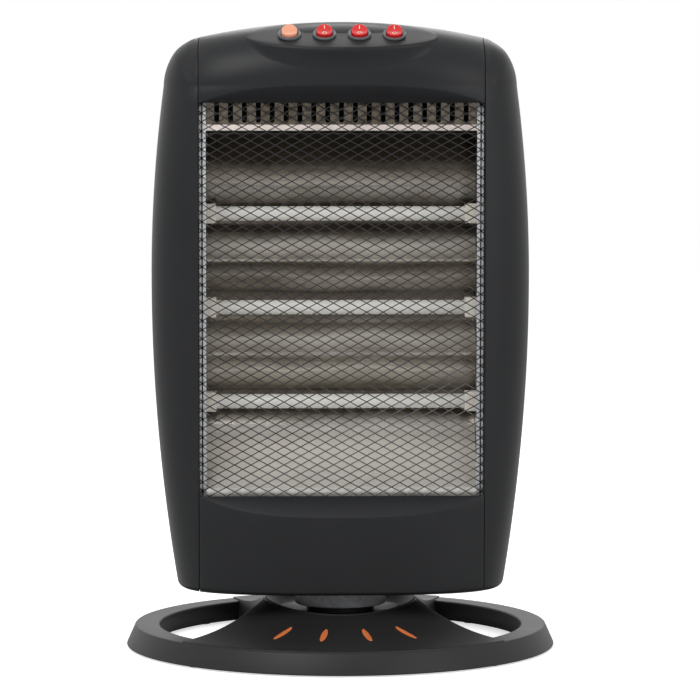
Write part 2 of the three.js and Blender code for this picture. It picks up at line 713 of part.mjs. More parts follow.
// Height of the hump's slope at a radius and an angle about the swing axis
function humpAt(radius, angle) {
  const share = THREE.MathUtils.clamp((radius - dishRimRadius) / (humpEdgeRadius - dishRimRadius), 0, 1);
  const edge = ringHeight + humpStep;
  return edge + (rimAt(angle) - edge) * (1 - share) ** humpPower;
}

// The round hill with its dish, moved down by drop, before its sides are trimmed
function hill(drop, edgeRadius, bottom, around = 32, rows = 4) {
  const angles = steps(0, 2 * Math.PI, around).slice(0, -1);
  const ring = (radius, height) => angles.map((a) => new THREE.Vector3(radius * Math.cos(a), radius * Math.sin(a), height(a)));
  const slope = steps(1, 0, rows).map((t) => dishRimRadius + (edgeRadius - dishRimRadius) * t ** 1.35);
  const rings = [ring(edgeRadius, () => bottom)];
  slope.forEach((radius) => rings.push(ring(radius + (radius === dishRimRadius ? drop : 0), (a) => humpAt(radius, a) - drop)));
  rings.push(ring(dishRimRadius - 1.2 + drop, (a) => rimAt(a) - drop - 0.2));
  rings.push(ring(dishFloorRadius + drop, () => dishFloorZ - drop));
  rings.push(ring(spindleRadius, () => dishFloorZ - drop));
  return loft(rings, (point) => v2(point.x, point.y));
}

// Side edge of the hump, from the axis outwards, at a place along it
function creaseAt(y) {
  const [reach, out, power] = y < 0
    ? [humpFrontY, humpFrontHalf, humpFrontPower] : [humpRearY, humpRearHalf, humpRearPower];
  return humpWaistHalf + (out - humpWaistHalf) * (Math.abs(y) / reach) ** power;
}

function humpPlan(inset, z0, z1) {
  const places = steps(-ringFootRadius, ringFootRadius, 16);
  const right = places.map((y) => v2(creaseAt(y) - inset, y));
  const left = places.map((y) => v2(-creaseAt(y) + inset, y)).reverse();
  return prismZ([...right, ...left], z0, z1);
}

function ringProfile(inset, bottom) {
  const lean = (ringFootRadius - ringTopRadius) / (ringHeight - baseFloorZ);
  const boreLean = (ringBoreFootRadius - ringBoreRadius) / (ringHeight - baseFloorZ);
  const top = ringHeight - inset;
  const outerAt = (z) => ringTopRadius + lean * (ringHeight - z) - inset;
  const innerAt = (z) => ringBoreRadius + boreLean * (ringHeight - z) + inset;
  if (inset) return [[innerAt(bottom), bottom], [outerAt(bottom), bottom], [outerAt(top), top], [innerAt(top), top]];
  return [[innerAt(bottom), bottom], [outerAt(bottom), bottom], [outerAt(top - ringSoftEdge), top - ringSoftEdge],
    [outerAt(top) - ringSoftEdge, top], [innerAt(top) + ringSoftEdge, top], [innerAt(top - ringSoftEdge), top - ringSoftEdge]];
}

function inlayPlan(angle, grow) {
  const points = steps(0, Math.PI, 6).map((a) => [
    inlayStart - grow + (inlayLength + 2 * grow) * (1 - Math.cos(a)) / 2, (inlayWidth / 2 + grow) * Math.sin(a) ** 0.9]);
  const loop = [...points, ...points.slice(1, -1).reverse().map(([r, w]) => [r, -w])];
  return loop.map(([r, w]) => v2(r * Math.sin(angle) + w * Math.cos(angle), -r * Math.cos(angle) + w * Math.sin(angle)));
}

function baseShell() {
  const outer = join(turned(ringProfile(0, baseFloorZ), 48),
    overlap(hill(0, humpEdgeRadius, baseFloorZ), humpPlan(0, -beyond, beyond)));
  const inner = join(turned(ringProfile(baseWall, baseFloorZ - 1), 28),
    overlap(hill(baseWall, humpEdgeRadius - baseWall, baseFloorZ - 1, 20, 3), humpPlan(baseWall, -beyond, beyond)));
  const bore = disc(spindleRadius + clearance, 0, 2 * dishFloorZ, 24);
  const pockets = inlayAngles.map((angle) => cut(prismZ(inlayPlan(angle, clearance), baseFloorZ, beyond),
    hill(inlayDepth + clearance, humpEdgeRadius - 2, -5)));
  const glandHole = placed(disc(glandRadius + clearance, -2 * glandDepth, 2 * glandDepth, 12), glandPlace());
  return cut(outer, inner, bore, glandHole, ...pockets);
}

function inlay(angle) {
  const slab = cut(prismZ(inlayPlan(angle, 0), baseFloorZ, beyond), hill(inlayDepth, humpEdgeRadius - 2, -5));
  return overlap(slab, hill(-inlayProud, humpEdgeRadius, baseFloorZ));
}

const plateZ = baseFloorZ + clearance;
const plateTopZ = plateZ + plateThickness;

function underplate() {
  const bore = ringProfile(baseWall + clearance, plateZ)[0][0];
  const rim = ringProfile(baseWall + clearance, plateTopZ)[1][0];
  const ring = tubeRing(bore, rim, plateZ, plateTopZ, 28);
  const middle = overlap(humpPlan(baseWall + clearance, plateZ, plateTopZ), disc((bore + rim) / 2, -beyond, beyond, 28));
  const vents = steps(-2, 2, 4).map((i) => {
    const y = motorY + i * motorVentPitch;
    return block(-motorVentHalf, motorVentHalf, y - motorVentWidth / 2, y + motorVentWidth / 2, 0, 2 * plateTopZ);
  });
  const plungerHole = disc(plungerRadius + clearance, 0, 2 * plateTopZ, 12).translate([0, tipSwitchY, 0]);
  return cut(join(ring, middle), plungerHole, ...vents);
}

function pad(angle) {
  const x = padRingRadius * Math.cos(angle);
  const y = padRingRadius * Math.sin(angle);
  const profile = [[0, 0], [padRadius - 0.5, 0], [padRadius, 0.5], [padRadius, baseFloorZ], [0, baseFloorZ]];
  return turned(profile, 12).translate([x, y, 0]);
}

function glandPlace() {
  const lean = (ringFootRadius - ringTopRadius) / (ringHeight - baseFloorZ);
  const radius = ringTopRadius + lean * (ringHeight - glandZ);
  return new THREE.Matrix4().makeTranslation(0, radius, glandZ)
    .multiply(new THREE.Matrix4().makeRotationX(-Math.PI / 2));
}

function cordGland() {
  const flange = glandRadius + glandFlange;
  const profile = [[glandBore, -glandDepth], [flange, -glandDepth], [flange, 1.8 - glandDepth],
    [glandRadius, 1.8 - glandDepth], [glandRadius, 0.8], [glandRadius - 0.8, 2.4], [glandBore, 2.4]];
  return placed(turned(profile, 12), glandPlace());
}

// ---------------------------------------------------------------- swing drive

function turntableCollar() {
  const floor = bodyFloorZ + wall;
  return turned([[spindleBore, armZ + clearance], [spindleRadius, armZ + clearance], [spindleRadius, collarZ],
    [collarRadius, collarZ], [collarRadius, floor + clearance], [collarRadius + collarFlange, floor + clearance],
    [collarRadius + collarFlange, floor + clearance + collarWall], [collarRadius - collarWall, floor + clearance + collarWall],
    [collarRadius - collarWall, collarZ + collarWall], [spindleBore, collarZ + collarWall]], 22);
}

const thrustRing = () => tubeRing(thrustInner, thrustOuter, dishFloorZ + clearance, collarZ - clearance, 16);

function swivelArm() {
  const hub = spindleRadius + clearance;
  const nearest = Math.hypot(motorY, crankThrow) - crankPinRadius - slotSide;
  const furthest = motorY + crankThrow + crankPinRadius + slotSide;
  const halfSlot = crankPinRadius + slotSide;
  const halfArm = halfSlot + armRim;
  const stadium = (w, y0, y1) => {
    const near = steps(Math.PI, 2 * Math.PI, 5).map((a) => v2(w * Math.cos(a), y0 + w + w * Math.sin(a)));
    const far = steps(0, Math.PI, 5).map((a) => v2(w * Math.cos(a), y1 - w + w * Math.sin(a)));
    return [...near, ...far];
  };
  const top = armZ + armThickness;
  const arm = prismZ(stadium(halfArm, 0, furthest + armRim), armZ, top);
  const slot = prismZ(stadium(halfSlot, nearest, furthest), armZ - 1, top + 1);
  return cut(join(disc(hub + armHubWall, armZ, top, 24), arm), slot, disc(hub, 0, 2 * armZ, 24));
}

const motorFloorZ = plateTopZ + clearance;
const motorTopZ = motorFloorZ + motorHeight;
const crankZ = motorTopZ + clearance;

function swivelMotor() {
  const can = disc(motorRadius, motorFloorZ, motorTopZ, 24);
  const shaft = disc(motorShaftRadius, motorTopZ - 1, crankZ + crankThickness - clearance, 12);
  const ears = [-1, 1].map((side) => disc(motorEarRadius, motorFloorZ, motorFloorZ + plateThickness, 12).translate([side * (motorRadius + 3), 0, 0]));
  const holes = [-1, 1].map((side) => disc(motorScrewRadius, 0, beyond, 8).translate([side * (motorRadius + 4.2), 0, 0]));
  return cut(join(can, shaft, ...ears), ...holes).translate([0, motorY, 0]);
}

function motorCrank() {
  const top = crankZ + crankThickness - clearance;
  const web = block(-3.5, 3.5, 0, crankThrow, crankZ, top);
  const boss = disc(4.5, crankZ, top, 14).translate([0, crankThrow, 0]);
  const pin = disc(crankPinRadius, crankZ, dishFloorZ - baseWall - clearance, 12).translate([0, crankThrow, 0]);
  const hub = disc(crankHubRadius, crankZ, top, 16);
  return cut(join(hub, web, boss, pin), disc(motorShaftRadius + clearance, 0, beyond, 12)).translate([0, motorY, 0]);
}

function tipSwitch() {
  const s = tipSwitchSize / 2;
  const bottom = plateTopZ + clearance;
  const box = block(-s, s, tipSwitchY - s, tipSwitchY + s, bottom, bottom + tipSwitchHeight);
  const guide = disc(plungerRadius + clearance, 0, bottom + plungerGuide, 12).translate([0, tipSwitchY, 0]);
  const chamber = disc(plungerRadius + plungerHead + clearance, bottom + plungerGuide - 0.1, bottom + tipSwitchHeight - 1.5, 12)
    .translate([0, tipSwitchY, 0]);
  return cut(box, guide, chamber);
}

function tipPlunger() {
  const shoulder = plateTopZ + clearance + plungerGuide + plungerStroke + clearance;
  const profile = [[0, plungerFoot], [plungerRadius - 0.8, plungerFoot], [plungerRadius, plungerFoot + 1],
    [plungerRadius, shoulder], [plungerRadius + plungerHead, shoulder], [plungerRadius + plungerHead, shoulder + 2],
    [0, shoulder + 2]];
  return turned(profile, 12).translate([0, tipSwitchY, 0]);
}

// ---------------------------------------------------------------- parts held inside the body

function thermalCutout() {
  const y = reflectorBackY + sheet / 2 + clearance;
  const z = ridgeHighZ + troughReach;
  const facing = new THREE.Matrix4().makeTranslation(0, y, z).multiply(new THREE.Matrix4().makeRotationX(-Math.PI / 2));
  const profile = [[0, 0], [cutoutRadius + 2, 0], [cutoutRadius + 2, 1], [cutoutRadius, 1], [cutoutRadius, cutoutHeight],
    [0, cutoutHeight]];
  return placed(turned(profile, 16), facing);
}

function terminalBlock() {
  const z = bodyFloorZ + wall + clearance;
  const { x, y, z: height } = terminalSize;
  const body = block(terminalX - x / 2, terminalX + x / 2, -y / 2, y / 2, z, z + height);
  const ways = steps(-1, 1, 2).map((i) => {
    const x0 = terminalX + i * terminalPitch - terminalWay / 2;
    return block(x0, x0 + terminalWay, -beyond, beyond, z + terminalFloor, z + height - terminalFloor - 2);
  });
  return cut(body, ...ways);
}

// ---------------------------------------------------------------- materials and assembly

const finishes = {
  housing: { color: 0x2d2e31, roughness: 0.42, metalness: 0 },
  collar: { color: 0x4a4c50, roughness: 0.55, metalness: 0 },
  steel: { color: 0x111112, roughness: 0.45, metalness: 0.6 },
  mirror: { color: 0xc9c4bb, roughness: 0.2, metalness: 1 },
  plate: { color: 0xa9a49a, roughness: 0.35, metalness: 1 },
  quartz: { color: 0xf3efe6, roughness: 0.35, metalness: 0 },
  ceramic: { color: 0xe2d6bd, roughness: 0.7, metalness: 0 },
  filament: { color: 0x8a8580, roughness: 0.5, metalness: 1 },
  bezel: { color: 0x17181a, roughness: 0.4, metalness: 0 },
  salmon: { color: 0xf0a07c, roughness: 0.35, metalness: 0 },
  red: { color: 0xd31a1c, roughness: 0.3, metalness: 0 },
  orange: { color: 0xe8641e, roughness: 0.4, metalness: 0 },
  rubber: { color: 0x1b1b1b, roughness: 0.9, metalness: 0 },
  nylon: { color: 0xe6e3da, roughness: 0.6, metalness: 0 },
};

const heater = new THREE.Group();

function add(name, finish, manifold) {
  const mesh = new THREE.Mesh(geometryOf(manifold), new THREE.MeshStandardMaterial(finishes[finish]));
  mesh.name = name;
  heater.add(mesh);
}

add('base_shell', 'housing', baseShell());
add('base_underplate', 'housing', underplate());
padAngles.forEach((angle, i) => add(`foot_pad_${i + 1}`, 'rubber', pad(angle)));
inlayAngles.forEach((angle, i) => add(`base_inlay_${i + 1}`, 'orange', inlay(angle)));
add('cord_gland', 'rubber', cordGland());
add('thrust_ring', 'nylon', thrustRing());
add('swivel_motor', 'plate', swivelMotor());
add('motor_crank', 'nylon', motorCrank());
add('tip_switch', 'bezel', tipSwitch());
add('tip_plunger', 'nylon', tipPlunger());

add('turntable_collar', 'collar', turntableCollar());
add('swivel_arm', 'plate', swivelArm());
add('front_top_cover', 'housing', frontTopCover());
add('front_bottom_cover', 'housing', frontBottomCover());
add('side_cover_left', 'housing', sideCover(-1));
add('side_cover_right', 'housing', sideCover(1));
add('rear_cover', 'housing', rearCover());
add('chassis_plate_left', 'plate', chassisPlate(-1));
add('chassis_plate_right', 'plate', chassisPlate(1));
add('reflector', 'mirror', reflector());
add('vent_strip', 'plate', ventStrip());
add('guard_grille', 'steel', guardGrille());
tubeZ.forEach((_, i) => {
  add(`quartz_tube_${i + 1}`, 'quartz', quartzTube(i));
  add(`filament_${i + 1}`, 'filament', filament(i));
  add(`tube_cap_left_${i + 1}`, 'ceramic', tubeCap(i, -1));
  add(`tube_cap_right_${i + 1}`, 'ceramic', tubeCap(i, 1));
});
for (let i = 0; i < switchCount; i += 1) {
  add(`switch_body_${i + 1}`, 'bezel', switchBody(i));
  add(`switch_rocker_${i + 1}`, i === 0 ? 'salmon' : 'red', rocker(i));
}
add('thermal_cutout', 'plate', thermalCutout());
add('terminal_block', 'nylon', terminalBlock());

export default heater;
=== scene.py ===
"""Looks for a free-standing halogen heater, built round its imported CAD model.

Lengths in the functions are millimetres, as in the part's source; meshes and settings are in metres.
The origin is on the floor under the axis the body swings about. Front is -Y and up is +Z.
"""

import math

import bmesh
import bpy
import numpy as np
from bpy.props import FloatProperty, FloatVectorProperty, IntProperty, PointerProperty
from mathutils import Matrix, Vector


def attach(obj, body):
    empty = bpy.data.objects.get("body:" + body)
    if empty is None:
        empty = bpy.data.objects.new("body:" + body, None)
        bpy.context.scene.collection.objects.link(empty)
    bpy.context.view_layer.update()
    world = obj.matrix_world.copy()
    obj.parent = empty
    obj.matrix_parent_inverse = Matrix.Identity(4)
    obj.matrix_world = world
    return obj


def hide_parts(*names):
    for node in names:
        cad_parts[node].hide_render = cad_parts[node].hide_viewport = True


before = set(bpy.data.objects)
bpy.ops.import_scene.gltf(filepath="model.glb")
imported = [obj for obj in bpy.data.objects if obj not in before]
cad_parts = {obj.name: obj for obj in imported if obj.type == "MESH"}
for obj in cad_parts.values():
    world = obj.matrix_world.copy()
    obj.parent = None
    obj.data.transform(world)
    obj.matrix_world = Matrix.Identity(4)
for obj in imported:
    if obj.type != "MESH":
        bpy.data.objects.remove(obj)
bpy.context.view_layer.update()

bl_info = {
    "name": "Halogen heater",
    "version": (1, 0, 0),
    "blender": (4, 5, 0),
    "location": "View3D > Sidebar > Heater",
    "description": "Builds the surfaces and finishes of a free-standing halogen heater",
    "category": "Object",
}

MM = 0.001

# Body form, as in the part's source but for the heel, which is tighter here
SEAM_X = 108.0
WAIST_Z, WAIST_HALF = 283.0, 144.6
BOW_BELOW, BOW_ABOVE = 1394.0, 1100.0  # radius of the sides' bow below and above the waist
FLOOR_Z, FLOOR_EDGE, HEEL = 46.0, 2.6, 5.8
CROWN_Z, CROWN_RADIUS, ROLL = 478.0, 510.0, 38.0
SHOULDER_Z, SHOULDER_POWER = 430.0, 1.85
FRONT_DEPTH, FRONT_POWER = 65.0, 3.0
REAR_DEPTH, REAR_POWER = 52.0, 4.0
REAR_SEAM_Y = 38.0
DOME_Y, DOME_Z = -6.5, 428.0  # middle of the top, and where it starts
WINDOW_LOW, WINDOW_HIGH = 120.3, 417.0
BEVEL_Y = -52.2
LOWER_SLOPE = 15.0 / (FRONT_DEPTH + BEVEL_Y)
UPPER_SLOPE = 13.0 / (FRONT_DEPTH + BEVEL_Y)
CHASSIS_X = 104.8
SHEET_HALF = CHASSIS_X - 0.3
SHEET_LOW, SHEET_HIGH = 113.0, 394.0  # lower and upper edge of the reflector
PLATE_FRONT, PLATE_FOOT, PLATE_TOP = -42.0, 48.8, 421.0
POD_HALF = 72.0  # half length of the control pod
COLLAR_RADIUS = 35.0
TUBE_Y, TUBE_Z = -12.0, (189.1, 261.1, 332.8)
BLOCK_HALF = 7.5  # of a tube's end block

# Painted shade on the reflector, brown bands that stand for the dark reflections beside each tube: height from a tube
# and the share of brightness left, then the same by height on the sheet, at its foot and in a painted dark band under
# the vent
PAINTED_SHADE_STEPS = ((-24, 1.0), (-16, 0.4), (-10, 0.17), (10, 0.15), (17, 0.5), (23, 0.85), (32, 0.45))
PAINTED_SHADE_ENDS = ((124, 1.0), (373, 0.12), (390, 0.06))

# Base form
RING_HEIGHT, RING_FOOT, RING_TOP, RING_BORE, RING_BORE_FOOT = 17.0, 165.0, 158.0, 139.0, 142.5
BASE_FLOOR = 1.2
DISH_RADIUS, DISH_FLOOR_RADIUS, DISH_FLOOR_Z = 57.0, 51.0, 27.0
HUMP_EDGE_Z = 18.0
HUMP_WALL, HUMP_BORE = 2.4, 14.0  # thickness, and radius of the hole in the dish's floor
INLAY_ANGLES = (-25.6, -8.1, 9.6, 26.6)


# ---------------------------------------------------------------- settings

def length(name, description, default):
    return FloatProperty(name=name, description=description, default=default, min=0.0, subtype="DISTANCE",
                         unit="LENGTH", precision=5)


def colour(name, description, default):
    return FloatVectorProperty(name=name, description=description, default=linear(default)[:3], subtype="COLOR",
                               size=3, min=0.0, max=1.0)


def linear(hex_colour):
    """An sRGB hex colour as linear red, green, blue and alpha."""
    parts = [int(hex_colour[i:i + 2], 16) / 255 for i in (1, 3, 5)]
    return tuple(p / 12.92 if p <= 0.04045 else ((p + 0.055) / 1.055) ** 2.4 for p in parts) + (1.0,)


class HousingSettings(bpy.types.PropertyGroup):
    wall: length("Wall", "Thickness of the moulded covers", 0.0025)
    seam: length("Seam", "Gap between the centre and side covers", 0.0006)
    edge: length("Edge radius", "Rounding of the covers' edges", 0.00045)
    lip: length("Pod lip", "Height of the control pod's upright lip", 0.0024)
    plastic: colour("Plastic", "Colour of the moulded housing", "#1b1c1e")


class GuardSettings(bpy.types.PropertyGroup):
    wire: length("Wire", "Diameter of the guard's wires", 0.00085)
    rim: length("Rim", "Diameter of the rim rod", 0.0024)
    width: length("Diamond width", "Width of one diamond", 0.0125)
    height: length("Diamond height", "Height of one diamond", 0.0068)
    fold: length("Fold radius", "Radius of the wires' bend at the sides", 0.004)
    enamel: colour("Enamel", "Colour of the wires", "#161617")


class MetalSettings(bpy.types.PropertyGroup):
    sheet: length("Sheet", "Thickness of the folded metal", 0.001)
    slots: IntProperty(name="Slots", description="Number of slots in the vent strip", default=19, min=1)
    pitch: length("Slot pitch", "Distance between the vent strip's slots", 0.01045)
    slot: length("Slot width", "Width of each slot", 0.0038)
    polished: colour("Polished", "Colour of the polished reflector", "#f3efe8")
    # On the vent strip this darker colour is painted shade
    plated: colour("Plated", "Colour of the plated steel", "#8d8375")


class TubeSettings(bpy.types.PropertyGroup):
    radius: length("Radius", "Outer radius of the quartz tubes", 0.0055)
    coil: length("Coil pitch", "Distance between turns of the filament", 0.002)
    quartz: colour("Quartz", "Colour of the frosted quartz", "#faf8f2")
    ceramic: colour("Ceramic", "Colour of the end blocks", "#f8f3e8")


class SwitchSettings(bpy.types.PropertyGroup):
    bezel: length("Bezel radius", "Radius of the round bezels", 0.0089)
    rocker: length("Rocker radius", "Radius of the rockers", 0.0062)
    bezels: colour("Bezels", "Colour of the bezels", "#5a5c5f")
    first: colour("First rocker", "Colour of the swing switch's rocker", "#f0a482")
    others: colour("Other rockers", "Colour of the heat switches' rockers", "#d8191d")


class BaseSettings(bpy.types.PropertyGroup):
    soft: length("Soft edge", "Rounding of the ring's edges", 0.0015)
    lip: length("Dish lip", "Height of the lip round the dish", 0.0005)
    plastic: colour("Plastic", "Colour of the base", "#232324")
    inlays: colour("Inlays", "Colour of the inlays", "#e87f45")


SETTINGS = {"heater_housing": HousingSettings, "heater_guard": GuardSettings, "heater_metal": MetalSettings,
            "heater_tubes": TubeSettings, "heater_switches": SwitchSettings, "heater_base": BaseSettings}


# ---------------------------------------------------------------- making and finishing pieces

def grid_faces(rows, columns, wrap=False, start=0):
    """Quads between the rows of a grid of points; wrap joins each row's end to its start."""
    last = columns if wrap else columns - 1
    return [(start + r * columns + c, start + r * columns + (c + 1) % columns,
             start + (r + 1) * columns + (c + 1) % columns, start + (r + 1) * columns + c)
            for r in range(rows - 1) for c in range(last)]


def closed_faces(rows, columns):
    """Quads between closed rings of points, and a face over each end."""
    ends = [tuple(range(columns)), tuple(reversed(range((rows - 1) * columns, rows * columns)))]
    return grid_faces(rows, columns, wrap=True) + ends


def make(name, points, faces, outward=True):
    """An object from points in millimetres."""
    mesh = bpy.data.meshes.new(name)
    mesh.from_pydata((np.asarray(points, float).reshape(-1, 3) * MM).tolist(), [], faces)
    if outward:
        tidy(mesh)
    piece = bpy.data.objects.new(name, mesh)
    bpy.context.scene.collection.objects.link(piece)
    return piece


def tidy(mesh):
    """Merges doubled points and turns the faces outwards."""
    bm = bmesh.new()
    bm.from_mesh(mesh)
    bmesh.ops.remove_doubles(bm, verts=bm.verts, dist=1e-6)
    bmesh.ops.recalc_face_normals(bm, faces=bm.faces)
    bm.to_mesh(mesh)
    bm.free()


def modify(piece, kind, **settings):
    """Adds a modifier and makes its result the piece's own mesh."""
    modifier = piece.modifiers.new(kind.title(), kind)
    for key, value in settings.items():
        setattr(modifier, key, value)
    settle(piece)


def settle(piece):
    """Makes what the modifiers give the piece's own mesh."""
    old = piece.data
    evaluated = piece.evaluated_get(bpy.context.evaluated_depsgraph_get())
    piece.data = bpy.data.meshes.new_from_object(evaluated)
    piece.modifiers.clear()
    piece.data.name = piece.name
    bpy.data.meshes.remove(old)


def cut(piece, *tools):
    """Takes other closed objects away from a piece, and removes them."""
    for tool in tools:
        modify(piece, "BOOLEAN", object=tool, operation="DIFFERENCE", solver="EXACT")
        bpy.data.objects.remove(tool)


def merge(piece, *others):
    """Puts other objects' meshes into a piece's mesh, with their materials."""
    bm = bmesh.new()
    bm.from_mesh(piece.data)
    for other in others:
        offset = len(piece.data.materials)
        for finish_used in other.data.materials:
            piece.data.materials.append(finish_used)
        before = len(bm.faces)
        bm.from_mesh(other.data)
        bm.faces.ensure_lookup_table()
        if offset:
            for face in bm.faces[before:]:
                face.material_index += offset
        bpy.data.objects.remove(other)
    bm.to_mesh(piece.data)
    bm.free()


def complete(piece, body, replaced, finish_used=None, angle=35):
    """Gives a piece its finish and smoothness, hides the CAD part that it stands for, and hangs it on the body it
    moves with.
    """
    if finish_used is not None:
        piece.data.materials.clear()
        piece.data.materials.append(finish_used)
    piece.data.shade_smooth()
    piece.data.set_sharp_from_angle(angle=math.radians(angle))
    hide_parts(replaced)
    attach(piece, body)


def whole_turn(count):
    """Angles once round, without the last that would repeat the first."""
    return np.linspace(0, 2 * np.pi, count, endpoint=False)


def ring_at(radius, turn, z):
    """Points about Z at these angles; radius and z are one number, or one for each angle."""
    return np.stack([radius * np.cos(turn), radius * np.sin(turn), z + 0 * turn], -1)


def skin(name, rings):
    """A surface through rings of points."""
    return make(name, rings, grid_faces(len(rings), len(rings[0]), wrap=True))


def lathe(name, profile, segments):
    """A closed profile of (radius, z) turned about Z."""
    return skin(name, [ring_at(radius, whole_turn(segments), z) for radius, z in (*profile, profile[0])])


def rectangle(x0, y0, x1, y1):
    """The corners of an upright rectangle, once round."""
    return [(x0, y0), (x1, y0), (x1, y1), (x0, y1)]


def rounded(corners, radius, count):
    """A flat outline whose corners are rounded, with one radius or one for each corner."""
    corners = [np.asarray(c, float) for c in corners]
    radii = list(radius) if hasattr(radius, "__len__") else [radius] * len(corners)
    out = []
    for i, corner in enumerate(corners):
        if radii[i] <= 0:
            out.append(corner)
            continue
        before, after = corners[i - 1] - corner, corners[(i + 1) % len(corners)] - corner
        a, b = before / np.linalg.norm(before), after / np.linalg.norm(after)
        half = math.acos(np.clip(a @ b, -1, 1)) / 2
        reach = radii[i] / math.tan(half)
        centre = corner + (a + b) / np.linalg.norm(a + b) * radii[i] / math.sin(half)
        start, end = corner + a * reach - centre, corner + b * reach - centre
        sweep = math.pi - 2 * half
        for t in np.linspace(0, 1, count + 1):
            mix = (start * math.sin((1 - t) * sweep) + end * math.sin(t * sweep)) / math.sin(sweep)
            out.append(centre + mix)
    return out


def block(name, outline, x0, x1):
    """A (y, z) outline drawn out along X as a closed solid."""
    points = [(x, y, z) for x in sorted((x0, x1)) for y, z in outline]
    return make(name, points, closed_faces(2, len(outline)))


# ---------------------------------------------------------------- material and geometry trees

def node(tree, kind, inputs=None, **settings):
    """Adds a node, sets it up, and links or fills its sockets; a node as an input means its first output."""
    made = tree.nodes.new(kind)
    for key, value in settings.items():
        setattr(made, key, value)
    for key, value in (inputs or {}).items():
        if isinstance(value, bpy.types.Node):
            value = value.outputs[0]
        if isinstance(value, bpy.types.NodeSocket):
            tree.links.new(value, made.inputs[key])
        else:
            made.inputs[key].default_value = value
    return made


def new_finish(name, base, roughness, metallic=0.0, ior=1.5, extra=None):
    """A material with one shader, and the place on the piece that its patterns read."""
    made = bpy.data.materials.new(name)
    made.use_nodes = True
    tree = made.node_tree
    tree.nodes.clear()
    place = node(tree, "ShaderNodeTexCoord").outputs["Object"]
    shader = node(tree, "ShaderNodeBsdfPrincipled", {"Base Color": shade(base, 1), "Roughness": roughness,
                                                     "Metallic": metallic, "IOR": ior, **(extra or {})})
    node(tree, "ShaderNodeOutputMaterial", {"Surface": shader})
    made.diffuse_color = shade(base, 1)
    return made, tree, shader, place


def shade(base, factor):
    """A colour made darker or lighter, with alpha."""
    return tuple(c * factor for c in tuple(base)[:3]) + (1.0,)


def dress(tree, shader, base, tones, gloss=None, relief=None):
    """Spreads the base colour between two factors, and the gloss and relief, each by a pattern of its own.

    Relief is a pattern, a strength and a depth in millimetres.
    """
    pattern, low, high = tones
    tint = node(tree, "ShaderNodeMix", {"Factor": pattern, "A": shade(base, low), "B": shade(base, high)},
                data_type="RGBA")
    tree.links.new(tint.outputs["Result"], shader.inputs["Base Color"])
    if gloss:
        pattern, low, high = gloss
        spread = node(tree, "ShaderNodeMapRange", {"Value": pattern, "To Min": low, "To Max": high})
        tree.links.new(spread.outputs[0], shader.inputs["Roughness"])
    if relief:
        pattern, strength, depth = relief
        bump = node(tree, "ShaderNodeBump", {"Height": pattern, "Strength": strength, "Distance": depth * MM})
        tree.links.new(bump.outputs[0], shader.inputs["Normal"])


def moulded_plastic(name, base, roughness, grain, depth, mottle=0.12):
    """Injection-moulded ABS from a spark-eroded tool: satin, with a fine grain and a slightly uneven gloss.

    The real grain is about 0.1 mm; it is drawn as coarse as grain says, in millimetres, so that it shows.
    Its pits swallow part of the gloss, hence the low specular level.
    """
    made, tree, shader, place = new_finish(name, base, roughness, ior=1.53, extra={"Specular IOR Level": 0.25})
    fine = node(tree, "ShaderNodeTexNoise", {"Vector": place, "Scale": 1000 / grain, "Detail": 3.0, "Roughness": 0.6})
    broad = node(tree, "ShaderNodeTexNoise", {"Vector": place, "Scale": 22.0, "Detail": 2.0})
    both = node(tree, "ShaderNodeMath", {0: fine, 1: broad}, operation="ADD")
    tone = node(tree, "ShaderNodeMapRange", {"Value": both, "From Min": 0.6, "From Max": 1.4})
    dress(tree, shader, base, (tone, 1 - mottle, 1 + mottle), (broad, roughness - 0.04, roughness + 0.05),
          (fine, 0.5, depth))
    return made


def glossy_plastic(name, base, roughness):
    """Polished moulded polycarbonate: even colour, faint flow waves and a soft wear of the gloss."""
    made, tree, shader, place = new_finish(name, base, roughness, ior=1.58)
    flow = node(tree, "ShaderNodeTexNoise", {"Vector": place, "Scale": 260.0, "Detail": 2.0})
    dress(tree, shader, base, (flow, 0.9, 1.08), (flow, roughness - 0.05, roughness + 0.1), (flow, 0.3, 0.05))
    return made


def sheet_metal(name, base, roughness, wave, depth, stain=0.15, stretch=(1.0, 1.0, 1.0)):
    """Rolled sheet: mirror bright or plated, with shallow waves from rolling, wave apart and depth deep in
    millimetres, and a faint uneven stain."""
    made, tree, shader, place = new_finish(name, base, roughness, metallic=1.0)
    along = node(tree, "ShaderNodeMapping", {"Vector": place, "Scale": stretch})
    waves = node(tree, "ShaderNodeTexNoise", {"Vector": along, "Scale": 1000 / wave, "Detail": 2.0,
                                              "Roughness": 0.45})
    stains = node(tree, "ShaderNodeTexNoise", {"Vector": along, "Scale": 60.0, "Detail": 5.0, "Roughness": 0.65})
    tone = node(tree, "ShaderNodeMapRange", {"Value": stains, "From Min": 0.3, "From Max": 0.7})
    dress(tree, shader, base, (tone, 1 - stain, 1), (stains, roughness * 0.7, roughness * 1.4), (waves, 1.0, depth))
    return made


